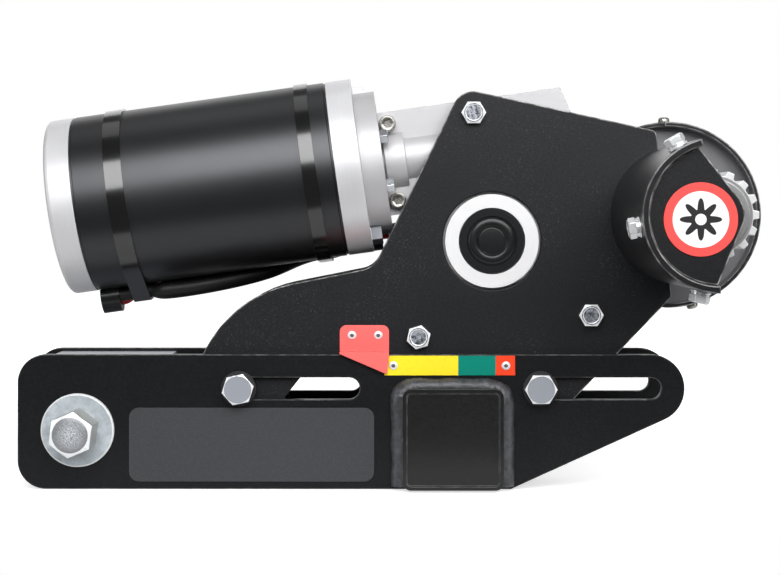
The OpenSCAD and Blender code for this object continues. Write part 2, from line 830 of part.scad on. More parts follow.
module scale_rivets() {
    color("#c5c6c8") for (x = [scale_x + scale_rivet_in, scale_x + scale_w - scale_rivet_in])
        rod_y([x, base_top - scale_drop - scale_h / 2], rivet_r, film_face - rivet_h / 2, film_face);
}
module engagement_bushes() {
    color("#a98a4a") for (side = [-1, 1]) {
        out = side * base_face;
        inside = side * base_in;
        flange = side * (base_in - bush_flange_t);
        difference() {
            union() {
                rod_y([shaft_x, shaft_z], bush_r, min(out, inside), max(out, inside));
                rod_y([shaft_x, shaft_z], bush_flange_r, min(inside, flange), max(inside, flange));
            }
            rod_y([shaft_x, shaft_z], shaft_r + run_fit, -base_face - past, base_face + past);
        }
    }
}
module spindle_block() {
    color("#3c3d40") difference() {
        translate([block_left, -base_in, shaft_z - block_h / 2]) cube([block_t, 2 * base_in, block_h]);
        translate([0, 0, shaft_z]) rod_x(journal_r + run_fit, block_left - past, block_right + past);
    }
}

// Engagement shaft: hexagon in front, collar inside, hexagon for the cross rod at the rear
module engagement_shaft() {
    at = [shaft_x, shaft_z];
    front = -base_face - washer_t;
    color("#c9cacc") {
        hex_y(at, hex_af, front - hex_len, front, hex_turn);
        rod_y(at, shaft_r, front, base_face + past);
        rod_y(at, bush_r, -base_in + bush_flange_t + side_fit, -base_in + bush_flange_t + side_fit + collar_t);
        hex_y(at, rear_hex_af, base_face, base_face + rear_hex_len, 0);
    }
}
module engagement_washer() {
    color("#d2d3d5") difference() {
        rod_y([shaft_x, shaft_z], washer_r, -base_face - washer_t, -base_face);
        rod_y([shaft_x, shaft_z], shaft_r, -base_face - washer_t - past, -base_face + past);
    }
}
// A mitre gear on its own axis: large end at the pitch radius from the crossing point
module mitre_gear(phase, bore) {
    small = (bevel_r - bevel_face) / bevel_r;
    difference() {
        union() {
            translate([0, 0, bevel_r]) mirror([0, 0, 1]) linear_extrude(bevel_face, scale = small)
                rotate(phase) polygon(gear_points(bevel_teeth, bevel_r, bevel_add, bevel_ded,
                    2 * tooth_thin));
            translate([0, 0, bevel_r]) cylinder(r = bevel_hub_r, h = bevel_hub);
        }
        translate([0, 0, bevel_r - bevel_face - past]) cylinder(r = bore, h = bevel_face + bevel_hub + 2 * past);
    }
}
module engagement_bevel() {
    color("#7d7f83") translate([shaft_x, 0, shaft_z]) rotate([-90, 0, 0]) mitre_gear(0, shaft_r);
}
module spindle_bevel() {
    color("#7d7f83") translate([shaft_x, 0, shaft_z]) rotate([0, 90, 0])
        mitre_gear(90 + 180 / bevel_teeth, journal_r);
}
module spindle() {
    color("#8f9195") translate([0, 0, shaft_z]) {
        rod_x(journal_r, spindle_bevel_x - bevel_face, block_right + side_fit);
        rod_x(collar_r, block_right + side_fit, block_right + side_fit + collar_t);
        rod_x(spindle_r, block_right + side_fit + collar_t, spindle_end);
    }
}

// The two cheeks that carry the drive unit
module cheek_outline() {
    waist_open = 180 - left_lean + shoulder_slope;
    toward = (left_dir + shoulder_dir) / norm(left_dir + shoulder_dir);
    waist_mid = waist - toward * waist_r / sin(waist_open / 2);
    leg_left = shoulder[0] - shoulder_r;
    right_deg = heading(right_top, low_right);
    right_dir = turned(right_deg);
    bulge_foot = right_top + right_dir * ((roller_at - right_top) * right_dir);
    bulge_half = sqrt(bulge_r * bulge_r - pow(norm(roller_at - bulge_foot), 2));
    difference() {
        polygon(concat(
            arc(top_bolt, top_r, 90 + left_lean, 90 - top_fall),
            corner(right_top, -top_fall, right_deg, small_r),
            arc(roller_at, bulge_r, heading(roller_at, bulge_foot - bulge_half * right_dir),
                heading(roller_at, bulge_foot + bulge_half * right_dir)),
            corner(low_right, right_deg, 180 + low_slant, small_r),
            [[leg_right_x, right_leg_z], [gap_right, right_leg_z]],
            arc([gap_right - gap_r, gap_top - gap_r], gap_r, 0, 90),
            arc([gap_left + gap_r, gap_top - gap_r], gap_r, 90, 180),
            [[gap_left, left_leg_z], [leg_left, left_leg_z]],
            arc(shoulder, shoulder_r, 180, 90 + shoulder_slope),
            arc(waist_mid, waist_r, shoulder_slope - 90, left_lean - 90)));
        for (b = cheek_bolts_at) translate(b) circle(m8_r + hole_fit);
        for (g = guide_bolts_at) translate(g) circle(m10_r + hole_fit);
        translate(layshaft) circle(boss_r + boss_gap);
        translate(roller_at) circle(shaft_hole_r);
    }
}
module drive_front_cheek() {
    color("#1d1d1f") slab_y(-cheek_out, -cheek_in) cheek_outline();
}
module drive_rear_cheek() {
    color("#1d1d1f") slab_y(cheek_in, cheek_out) cheek_outline();
}
module cheek_spacers() {
    color("#b4b6b9") {
        for (g = guide_bolts_at) difference() {
            rod_y(g, spacer_r, -cheek_in, cheek_in);
            rod_y(g, m10_r, -cheek_in - past, cheek_in + past);
        }
        for (b = [low_bolt_a, low_bolt_b]) difference() {
            rod_y(b, spacer_r, -cheek_in, cheek_in);
            rod_y(b, m8_r, -cheek_in - past, cheek_in + past);
        }
    }
}
module cheek_bolts() {
    color("#c9cacc") for (b = cheek_bolts_at, side = [0, 1]) mirror([0, side, 0]) {
        hex_y(b, m8_af, -cheek_out - m8_head, -cheek_out, 0);
        rod_y(b, m8_r, -cheek_out, -cheek_in + bolt_in);
    }
}
module guide_bolts() {
    seat = -base_face - side_fit - guide_flange_t;
    color("#c9cacc") for (g = guide_bolts_at, side = [0, 1]) mirror([0, side, 0]) {
        hex_y(g, m10_af, seat - m10_head, seat, guide_turn);
        rod_y(g, m10_r, seat, -cheek_in + bolt_in);
    }
}
module guide_bushes() {
    seat = -base_face - side_fit;
    color("#8d8f92") for (g = guide_bolts_at, side = [0, 1]) mirror([0, side, 0]) difference() {
        union() {
            rod_y(g, slot_r - run_fit, seat, -cheek_out);
            rod_y(g, guide_flange_r, seat - guide_flange_t, seat);
        }
        rod_y(g, m10_r, seat - guide_flange_t - past, -cheek_out + past);
    }
}
module spindle_nut() {
    color("#a98a4a") difference() {
        translate([nut_x - nut_len / 2, -cheek_in, shaft_z - nut_h / 2]) cube([nut_len, 2 * cheek_in, nut_h]);
        translate([0, 0, shaft_z]) rod_x(spindle_r + run_fit, nut_x - nut_len, nut_x + nut_len);
    }
}
// Red pointer: riveted to the front cheek and bent out over the scale
module pointer() {
    bend = base_top + side_fit;
    front = film_face - side_fit - rivet_h - pointer_t;
    color("#b3122a") {
        slab_y(-cheek_out - pointer_t, -cheek_out) translate([pointer_x, bend])  {
            square([pointer_w, pointer_top - bend - pointer_r]);
            translate([pointer_r, 0]) square([pointer_w - 2 * pointer_r, pointer_top - bend]);
            for (x = [pointer_r, pointer_w - pointer_r])
                translate([x, pointer_top - bend - pointer_r]) circle(pointer_r);
        }
        translate([pointer_x, front, bend]) cube([pointer_w, -cheek_out - front, pointer_t]);
        slab_y(front, front + pointer_t) polygon([[pointer_x, bend + pointer_t], [pointer_x, bend],
            [pointer_x + pointer_w - pointer_t, pointer_tip], [pointer_x + pointer_w, bend - pointer_t],
            [pointer_x + pointer_w, bend + pointer_t]]);
    }
}
module pointer_rivets() {
    color("#c5c6c8") for (x = pointer_rivets_at)
        rod_y([pointer_x + x, pointer_top - pointer_rivet_drop], rivet_r,
            -cheek_out - pointer_t - rivet_h, -cheek_out - pointer_t);
}

// Cast gear housing, split at the middle plane
module slab_outline() {
    polygon(concat([[flange_right, slab_top], [slab_right - slab_cut[0], slab_top],
        [slab_right, slab_top - slab_cut[1]], [slab_right, slab_right_low]], slab_lower,
        [[flange_right, slab_left_low]]));
}
module housing_solid() {
    motor_frame() {
        slab_y(-slab_half, slab_half) slab_outline();
        rod_x(neck_r, flange_right, neck_right);
        rod_x(chamber_r, neck_right, chamber_right);
    }
    rod_y(layshaft, drum_r, -drum_half, drum_half);
    rod_y(layshaft, shoulder_boss_r, -cheek_in, cheek_in);
    rod_y(layshaft, boss_r, -cheek_out - boss_out, cheek_out - hole_fit);
    rod_y(top_bolt, spacer_r, -cheek_in, cheek_in);
}
module housing_cuts() {
    motor_frame() {
        rod_x(rotor_bearing_r + run_fit, chamber_left + past, rotor_right);
        rod_x(rotor_bearing_r, flange_right - past, flange_right + rotor_bearing_w);
        rod_x(rotor_r + past, flange_right, chamber_left + 2 * past);
        for (s = housing_screws_at) rod_y(s, m6_r, -slab_half - past, slab_half + past);
    }
    rod_y(layshaft, wheel_r + worm_module + 2 * past, -wheel_w / 2 - 2 * past, wheel_w / 2 + 2 * past);
    for (side = [0, 1]) mirror([0, side, 0])
        rod_y(layshaft, lay_bearing_r, -cheek_out - 2 * past, -wheel_w / 2 - past);
    rod_y(top_bolt, m8_r, -cheek_in - past, cheek_in + past);
}
module housing_half(side) {
    reach = 3 * drum_r;
    color("#b7babd") intersection() {
        difference() {
            housing_solid();
            housing_cuts();
        }
        translate([foot[0] - reach, side < 0 ? -reach : 0, foot[1] - reach]) cube([2 * reach, reach, 2 * reach]);
    }
}
module housing_front() {
    housing_half(-1);
}
module housing_rear() {
    housing_half(1);
}
module housing_screws() {
    color("#6f7276") motor_frame() for (s = housing_screws_at) {
        difference() {
            rod_y(s, m6_head_r, -slab_half - m6_head, -slab_half);
            hex_y(s, m6_head_r, -slab_half - m6_head - past, -slab_half - m6_head / 2, 0);
        }
        rod_y(s, m6_r, -slab_half, slab_half);
    }
}
module adapter_flange() {
    color("#c4c7ca") motor_frame() difference() {
        rod_x(flange_r, ring_right, flange_right);
        rod_x(flange_bore, ring_right - past, flange_right - flange_floor);
        rod_x(rotor_r + past, ring_right - past, flange_right + past);
        for (a = flange_screws_at) rotate([a, 0, 0]) translate([0, flange_screw_r, 0])
            rod_x(m5_r, ring_right - past, flange_right + past);
    }
}
module flange_screws() {
    color("#8a8d91") motor_frame() for (a = flange_screws_at) rotate([a, 0, 0]) translate([0, flange_screw_r, 0]) {
        translate([flange_right, 0, 0]) rotate([0, 90, 0]) cylinder(r = m5_af / sqrt(3), h = m5_head, $fn = 6);
        rod_x(m5_r, ring_right, flange_right);
    }
}
module layshaft_bearings() {
    color("#9c9fa3") for (side = [0, 1]) mirror([0, side, 0]) difference() {
        rod_y(layshaft, lay_bearing_r, -lay_bearing_w - wheel_w / 2 - past, -wheel_w / 2 - past);
        rod_y(layshaft, lay_r + run_fit, -cheek_out, 0);
    }
}
module bearing_cap() {
    back = -cheek_out - boss_out + rubber_t - past;
    front = back - rubber_t;
    color("#161617") difference() {
        rod_y(layshaft, lay_bearing_r, front, back);
        difference() {
            rod_y(layshaft, rubber_groove_r, front - past, front + rubber_groove);
            rod_y(layshaft, rubber_button_r, front - past, front + rubber_t);
        }
        difference() {
            rod_y(layshaft, lay_bearing_r - 2 * hole_fit, front - past, front + rubber_step);
            rod_y(layshaft, rubber_ring_r, front - past, front + rubber_t);
        }
    }
}
shaft_bearings_at = [rotor_left, can_right + ring_floor, flange_right, rotor_right - rotor_bearing_w];
module shaft_bearings() {
    color("#9c9fa3") motor_frame() for (u = shaft_bearings_at) difference() {
        rod_x(rotor_bearing_r, u, u + rotor_bearing_w);
        rod_x(rotor_r + run_fit, u - past, u + rotor_bearing_w + past);
    }
}

// Motor
module motor_can() {
    color("#141416") motor_frame() difference() {
        rod_x(motor_r, can_left, can_right);
        rod_x(motor_in_r, can_left - past, can_right + past);
    }
}
module motor_end_cap() {
    color("#b9bcc0") motor_frame() difference() {
        union() {
            rod_x(motor_r, cap_left + cap_round_r, can_left);
            rod_x(motor_r - cap_round_r, cap_left, cap_left + cap_round_r);
            translate([cap_left + cap_round_r, 0, 0]) rotate([0, 90, 0]) rotate_extrude()
                translate([motor_r - cap_round_r, 0]) circle(cap_round_r);
        }
        difference() {
            rod_x(motor_in_r, rotor_left, can_left + past);
            rod_x(rotor_bearing_r + bearing_wall, rotor_left - past, rotor_left + rotor_bearing_w);
        }
        rod_x(rotor_bearing_r, rotor_left, rotor_left + rotor_bearing_w + past);
    }
}
module motor_front_ring() {
    color("#b9bcc0") motor_frame() {
        difference() {
            rod_x(motor_r, can_right, ring_right);
            rod_x(rotor_bearing_r, can_right - past, can_right + ring_floor + rotor_bearing_w);
            rod_x(rotor_r + past, can_right, ring_right + past);
            for (a = flange_screws_at) rotate([a, 0, 0]) translate([0, flange_screw_r, 0])
                rod_x(m5_r, can_right - past, ring_right + past);
        }
        for (a = lugs_at) rotate([a, 0, 0])
            translate([ring_right - past, flange_r + 2 * hole_fit, -lug_w / 2])
                cube([flange_len / 2 + past, motor_r - flange_r - 4 * hole_fit, lug_w]);
    }
}
module motor_magnets() {
    color("#3a3a3d") motor_frame() translate([armature_left, 0, 0]) rotate([0, 90, 0])
        for (a = quarters) rotate([0, 0, magnet_from + a]) rotate_extrude(angle = magnet_deg)
            translate([magnet_r, 0]) square([motor_in_r - magnet_r, armature_len]);
}
module brushes() {
    color("#2c2c2e") motor_frame() for (a = quarters) rotate([a, 0, 0])
        translate([comm_left + (comm_len - brush_size[1]) / 2, comm_r + brush_gap, -brush_size[0] / 2])
            cube([brush_size[1], brush_size[2], brush_size[0]]);
}
// A strap's band, wrapped round the can and both leads
module strap_band(at_red, at_black, grow) {
    hull() {
        circle(motor_r + strap_fit + grow, $fn = strap_sides);
        for (p = [at_red, at_black]) translate([p[1], p[2]]) circle(lead_r + lead_fit + grow, $fn = lead_round);
    }
}
module strap(u, w, at_red, at_black) {
    translate([u - w / 2, 0, 0]) rotate([90, 0, 90]) linear_extrude(w) difference() {
        strap_band(at_red, at_black, strap_t);
        strap_band(at_red, at_black, 0);
    }
}
module motor_straps() {
    color("#0e0e10") motor_frame() {
        strap(strap_a, strap_aw, red_route[red_held[0]], black_route[black_held[0]]);
        strap(strap_b, strap_bw, red_route[red_held[1]], black_route[black_held[1]]);
        for (u = [strap_a, strap_b]) rotate([buckle_deg, 0, 0])
            translate([u - buckle[0] / 2, -buckle[1] / 2, -motor_r - strap_t / 2 - buckle[2]]) cube(buckle);
    }
}
module lead_gland() {
    color("#121214") motor_frame() difference() {
        translate([0, gland_at[1], gland_at[2]]) rod_x(gland_r, gland_at[0], gland_at[0] + gland_len);
        rod_x(motor_r, can_left, can_right);
        for (r = [red_route, black_route]) translate([0, r[0][1], r[0][2]])
            rod_x(lead_r + hole_fit, r[0][0] - hole_fit, gland_at[0] + gland_len + past);
    }
}
module lead(route, r) {
    p = route_points(route);
    n = len(p);
    side = [0, 1, 0];
    rings = [for (i = [0:n - 1]) let (
        t = p[min(i + 1, n - 1)] - p[max(i - 1, 0)],
        a = cross(t, side) / norm(cross(t, side)),
        b = cross(t, a) / norm(cross(t, a)))
        for (k = [0:lead_sides - 1]) p[i] + r * (cos(k * 360 / lead_sides) * a + sin(k * 360 / lead_sides) * b)];
    sides = [for (i = [0:n - 2]) for (k = [0:lead_sides - 1]) let (
        j = (k + 1) % lead_sides, q = i * lead_sides, s = (i + 1) * lead_sides)
        each [[q + k, s + k, s + j], [q + k, s + j, q + j]]];
    first = [for (k = [0:lead_sides - 1]) k];
    last = [for (k = [lead_sides - 1:-1:0]) (n - 1) * lead_sides + k];
    polyhedron(rings, concat(sides, [first], [last]));
}
module red_lead() {
    color("#a01420") motor_frame() lead(red_route, lead_r);
}
module black_lead() {
    color("#121214") motor_frame() lead(black_route, lead_r);
}
module lead_connectors() {
    color("#1a1a1c") motor_frame() for (r = [red_route, black_route]) translate(r[len(r) - 1] + [hole_fit, 0, 0]) difference() {
        rod_x(r == red_route ? plug_r : plug_r - past, 0, plug_len);
        rod_x(plug_r / 2, plug_len / 2, plug_len + past);
    }
}

// Roller shield and end plate
module roller_shield() {
    color("#1d1d1f") difference() {
        translate([roller_at[0], -cheek_out, roller_at[1]]) rotate([90, 0, 0]) rotate([0, 0, shield_from])
            rotate_extrude(angle = shield_arc) translate([shield_in_r, 0])
                square([shield_wall, -cheek_out - shield_front]);
        for (a = shield_bolts_at) shield_place(a) cylinder(r = m6_r + hole_fit, h = 2 * shield_r);
    }
}
// Turns Z outward along a radius of the shield, at the bolt row
module shield_place(a) {
    translate([roller_at[0], shield_front + shield_bolt_in, roller_at[1]]) rotate([0, 90 - a, 0]) children();
}
module shield_end_plate() {
    upper = end_r * turned(end_tip_a);
    lower = end_r * turned(end_tip_b);
    nose_deg = acos(end_nose / end_r);
    upper_touch = end_nose * turned(end_tip_a - nose_deg);
    lower_touch = end_nose * turned(end_tip_b + nose_deg);
    upper_out = upper + past * (upper - upper_touch) / norm(upper - upper_touch);
    lower_out = lower + past * (lower - lower_touch) / norm(lower - lower_touch);
    color("#222224") difference() {
        translate([roller_at[0], 0, roller_at[1]]) slab_y(end_front, end_rear) intersection() {
            circle(end_r);
            polygon(concat([upper_out, [-2 * end_r, 2 * end_r], [-2 * end_r, -2 * end_r], lower_out],
                arc([0, 0], end_nose, end_tip_b + nose_deg, 360 + end_tip_a - nose_deg)));
        }
        rod_y(roller_at, end_bearing_r, end_rear - roller_bearing_w, end_rear + past);
        for (a = shield_bolts_at) shield_place(a) translate([0, 0, roller_bearing_r + 2 * past])
            cylinder(r = m6_r, h = shield_r);
    }
}
module shield_bolts() {
    color("#c9cacc") for (a = shield_bolts_at) shield_place(a) {
        translate([0, 0, shield_r]) cylinder(r = m6_af / 2 + hole_fit, h = shield_washer);
        translate([0, 0, shield_r + shield_washer]) cylinder(r = m6_af / sqrt(3), h = m6_hex_head, $fn = 6);
        translate([0, 0, roller_bearing_r + shield_bolt_gap])
            cylinder(r = m6_r, h = shield_r + shield_washer - roller_bearing_r - shield_bolt_gap);
    }
}
module sign_disc() {
    color("#c01226") rod_y(roller_at + sign_shift, sign_r, end_front - film_t, end_front);
}
module roller_bearings() {
    color("#9c9fa3") for (b = [[end_rear, end_bearing_r], [bearing_rear, roller_bearing_r]]) difference() {
        rod_y(roller_at, b[1], b[0] - roller_bearing_w, b[0]);
        rod_y(roller_at, roller_end_r + run_fit, b[0] - roller_bearing_w - past, b[0] + past);
    }
}

// Gear case behind the rear cheek, with the dished cover facing the roller
module case_outline(grow) {
    a = heading(layshaft, roller_at);
    small = case_small_r + grow;
    large = dish_r + grow;
    open = acos((small - large) / spur_span);
    translate(layshaft) circle(small);
    translate(roller_at) circle(large);
    polygon([layshaft + small * turned(a + open), layshaft + small * turned(a - open),
        roller_at + large * turned(a - open), roller_at + large * turned(a + open)]);
}
module gear_case() {
    color("#1a1a1c") {
        difference() {
            slab_y(cover_rear, case_rear) case_outline(0);
            slab_y(cover_rear - past, case_rear - case_back) case_outline(-dish_wall);
            rod_y(layshaft, lay_r + run_fit, cover_rear, case_rear - past);
        }
        rod_y(idler_at, spigot_r, gear_front - gear_side / 2, case_rear - case_back + past);
    }
}
module case_cover() {
    color("#1a1a1c") {
        difference() {
            slab_y(cover_front, cover_rear) case_outline(0);
            difference() {
                rod_y(roller_at, dish_r - dish_wall, cover_front - past, cover_rear - floor_t);
                rod_y(roller_at, hub_boss_r, cover_front - 2 * past, cover_rear);
            }
            rod_y(roller_at, roller_bearing_r, cover_rear - roller_bearing_w, cover_rear + past);
            rod_y(roller_at, roller_shaft_r + past, cover_front - past, cover_rear);
            rod_y(layshaft, lay_r + past, cover_front - past, cover_rear + past);
            for (a = case_screws_at) case_place(a) translate([0, 0, dish_r - 2 * dish_wall])
                cylinder(r = m4_r, h = 3 * dish_wall);
        }
        intersection() {
            difference() {
                rod_y(roller_at, dish_r, rim_front, cover_front);
                rod_y(roller_at, dish_r - dish_wall, rim_front - past, cover_front + past);
            }
            translate([rim_left, rim_front - past, 0]) cube([2 * dish_r, cover_t, 4 * dish_r]);
        }
    }
}
// Turns Z outward along a radius of the dish, at the screw row
module case_place(a) {
    translate([roller_at[0], cover_rear - cover_t / 2, roller_at[1]]) rotate([0, 90 - a, 0]) children();
}
module case_screws() {
    color("#77797d") for (a = case_screws_at) case_place(a) {
        translate([0, 0, dish_r]) cylinder(r = m4_head_r, h = m4_head);
        translate([0, 0, dish_r - dish_wall]) cylinder(r = m4_r, h = dish_wall);
    }
}

// Turning pieces
module rotor_shaft() {
    color("#a7aaae") motor_frame() {
        rod_x(rotor_r, rotor_left, -worm_len / 2);
        rod_x(rotor_r, worm_len / 2, rotor_right);
        translate([-worm_len / 2, 0, 0]) rotate([0, 90, 0])
            linear_extrude(worm_len, twist = -360 * worm_len / worm_lead, slices = worm_slices, $fn = coarse)
                rotate(worm_phase) polygon(worm_points());
    }
}
// The worm's thread lies in a gap of the wheel at the middle plane
worm_phase = -180 * worm_len / worm_lead;
module armature() {
    color("#55575b") motor_frame() difference() {
        union() {
            rod_x(armature_r, armature_left, armature_left + armature_len);
            rod_x(winding_r, armature_left - winding_len, armature_left + armature_len + winding_len);
        }
        rod_x(rotor_r, armature_left - 2 * winding_len, armature_left + armature_len + 2 * winding_len);
    }
}
module commutator() {
    color("#b87f4d") motor_frame() difference() {
        rod_x(comm_r, comm_left, comm_left + comm_len);
        rod_x(rotor_r, comm_left - past, comm_left + comm_len + past);
    }
}
module layshaft_pinion() {
    front = -lay_bearing_w - wheel_w / 2 - past;
    color("#8f9195") {
        rod_y(layshaft, lay_r, front, gear_front);
        rod_y(layshaft, lay_hub_r, -wheel_w / 2, wheel_w / 2);
        slab_y(gear_front, gear_front + spur_w) translate(layshaft) rotate(first_deg)
            polygon(gear_points(pinion_teeth, pinion_r, spur_module, ded_share * spur_module, tooth_thin));
        rod_y(layshaft, lay_r, gear_front + spur_w, case_rear - 2 * past);
    }
}
module worm_wheel() {
    swing = 360 * wheel_w * worm_lead / (2 * PI * worm_r) / (2 * PI * wheel_r);
    color("#b08d4f") difference() {
        translate([layshaft[0], wheel_w / 2, layshaft[1]]) rotate([90, 0, 0])
            linear_extrude(wheel_w, twist = -swing, slices = wheel_slices, $fn = coarse)
                rotate(90 + tilt - swing / 2 + 180 / wheel_teeth)
                    polygon(gear_points(wheel_teeth, wheel_r, worm_module, worm_ded, 2 * tooth_thin));
        rod_y(layshaft, lay_hub_r, -wheel_w, wheel_w);
    }
}
module idler_gear() {
    color("#8f9195") slab_y(gear_front, gear_front + spur_w) translate(idler_at) difference() {
        rotate(idler_phase)
            polygon(gear_points(idler_teeth, idler_r, spur_module, ded_share * spur_module, tooth_thin));
        circle(spigot_r + run_fit);
    }
}
module toothed_roller() {
    pitch = 360 / roller_teeth;
    color("#c9cbce") {
        slab_y(roller_front, roller_rear) translate(roller_at) difference() {
            polygon([for (i = [0:roller_teeth - 1]) each [
                roller_valley * turned((i - roller_foot_share) * pitch), roller_tip * turned((i - roller_tip_share) * pitch),
                roller_tip * turned((i + roller_tip_share) * pitch), roller_valley * turned((i + roller_foot_share) * pitch)]]);
            circle(roller_shaft_r);
        }
        difference() {
            rod_y(roller_at, roller_collar_r, roller_front - roller_collar, roller_front);
            rod_y(roller_at, roller_shaft_r, roller_front - 2 * past, roller_front + past);
        }
    }
}
module roller_shaft() {
    color("#a7aaae") {
        rod_y(roller_at, roller_end_r, end_rear - roller_bearing_w, end_rear + side_fit);
        rod_y(roller_at, roller_shaft_r, end_rear + side_fit, cover_rear - roller_bearing_w - side_fit);
        rod_y(roller_at, roller_end_r, cover_rear - roller_bearing_w - side_fit, gear_front + spur_w);
    }
}
module roller_gear() {
    color("#8f9195") slab_y(gear_front, gear_front + spur_w) translate(roller_at) difference() {
        rotate(final_phase)
            polygon(gear_points(final_teeth, final_r, spur_module, ded_share * spur_module, tooth_thin));
        circle(roller_end_r);
    }
}

base_front_plate();
base_rear_plate();
base_top_web();
crossbar_sleeve();
sleeve_welds();
crossbar_end_cap();
blank_label();
scale_strip();
scale_rivets();
engagement_bushes();
spindle_block();
engagement_shaft();
engagement_washer();
engagement_bevel();
spindle();
spindle_bevel();
drive_front_cheek();
drive_rear_cheek();
cheek_spacers();
cheek_bolts();
guide_bolts();
guide_bushes();
spindle_nut();
pointer();
pointer_rivets();
housing_front();
housing_rear();
housing_screws();
adapter_flange();
flange_screws();
layshaft_bearings();
bearing_cap();
shaft_bearings();
motor_can();
motor_end_cap();
motor_front_ring();
motor_magnets();
brushes();
motor_straps();
lead_gland();
red_lead();
black_lead();
lead_connectors();
roller_shield();
shield_end_plate();
shield_bolts();
sign_disc();
roller_bearings();
gear_case();
case_cover();
case_screws();
rotor_shaft();
armature();
commutator();
layshaft_pinion();
worm_wheel();
idler_gear();
toothed_roller();
roller_shaft();
roller_gear();
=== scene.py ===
from math import atan2, cos, exp, hypot, pi, radians, sin, tan

import bmesh
import bpy
from bpy.props import FloatProperty, FloatVectorProperty, PointerProperty
from mathutils import Matrix, Vector


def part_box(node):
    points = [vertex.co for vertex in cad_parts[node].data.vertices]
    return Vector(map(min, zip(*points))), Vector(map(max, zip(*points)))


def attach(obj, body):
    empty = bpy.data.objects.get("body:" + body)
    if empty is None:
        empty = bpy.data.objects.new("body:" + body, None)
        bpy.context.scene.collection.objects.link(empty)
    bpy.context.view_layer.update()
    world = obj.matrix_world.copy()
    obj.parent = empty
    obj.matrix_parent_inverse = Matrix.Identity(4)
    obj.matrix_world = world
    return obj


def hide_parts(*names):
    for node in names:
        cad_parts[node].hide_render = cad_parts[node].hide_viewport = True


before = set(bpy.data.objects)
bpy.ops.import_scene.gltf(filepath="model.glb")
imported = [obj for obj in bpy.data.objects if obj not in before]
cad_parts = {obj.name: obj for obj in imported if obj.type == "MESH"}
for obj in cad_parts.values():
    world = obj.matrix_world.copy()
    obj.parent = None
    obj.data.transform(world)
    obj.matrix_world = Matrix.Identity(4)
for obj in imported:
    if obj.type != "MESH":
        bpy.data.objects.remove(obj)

bl_info = {
    "name": "Caravan motor mover",
    "version": (1, 0, 0),
    "blender": (4, 5, 0),
    "location": "View3D > Sidebar > Mover",
    "description": "Dresses the packed mover with rounded pieces, finishes and a studio",
    "category": "Object",
}

MM = 0.001
SMOOTH_LIMIT = radians(40)
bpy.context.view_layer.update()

# The motor's own frame has X along its axis, and its origin is above the worm wheel
MOTOR = Matrix.Translation((15.916 * MM, 0, 173.699 * MM)) @ Matrix.Rotation(radians(-8), 4, "Y")
# Places that have Z along the motor's axis
MOTOR_AXIS = MOTOR @ Matrix.Rotation(radians(90), 4, "Y")
# The motor can in that frame, in millimetres
CAN_LEFT = -242.3
CAN_RIGHT = -86.7
MOTOR_R = 53.5
# Axes in the side view, as X and Z in millimetres
ROLLER = (136.6, 133.4)
LAYSHAFT = (23.8, 117.6)
ENGAGEMENT = (-224.7, 4.4)
SIGN = (126.7, 131.0)
# A face counts as flat to the front or the rear when its normal's Y is over this
FLAT = 0.97
# Heads are rounded on edges that are sharper than this
HEAD_LIMIT = 24

FINISHES = {}


def linear(red, green, blue):
    """A colour given as it shows on screen, 0 to 255, made linear."""
    parts = []
    for part in (red, green, blue):
        share = part / 255
        parts.append(share / 12.92 if share <= 0.04045 else ((share + 0.055) / 1.055) ** 2.4)
    return tuple(parts)


def toned(shade, share):
    """A shade made darker or lighter."""
    return tuple(min(1, part * share) for part in shade)


def length(name, description, value):
    """A length property, given in millimetres."""
    return FloatProperty(name=name, description=description, default=value * MM, unit="LENGTH")


def colour(name, description, *shown):
    """A colour property, given as it shows on screen."""
    return FloatVectorProperty(name=name, description=description, default=linear(*shown), subtype="COLOR",
                               min=0, max=1)


class MoverSizes(bpy.types.PropertyGroup):
    """Sizes of the rounded edges and the fine details."""

    base_edge: length("Base edge", "Radius of the base plates' edges", 1.7)
    cheek_edge: length("Cheek edge", "Radius of the cheeks' edges", 0.8)
    sleeve_edge: length("Sleeve edge", "Radius of the sleeve's and the cap's edges", 1.3)
    shield_edge: length("Shield edge", "Radius of the shield's edges", 0.9)
    case_edge: length("Case edge", "Radius of the gear case's edges", 0.9)
    cast_edge: length("Cast edge", "Radius of the cast housing's edges", 1.1)
    turned_edge: length("Turned edge", "Radius of the turned pieces' edges", 0.4)
    fine_edge: length("Fine edge", "Radius of small pieces' edges", 0.18)
    bead: length("Weld bead", "Radius of the weld bead", 6.6)
    ripple: length("Weld ripple", "Height of the ripples in the weld", 0.12)
    lead: length("Lead", "Radius of the motor leads", 4.0)
    thread: length("Thread", "Height of the spindle thread", 1.3)


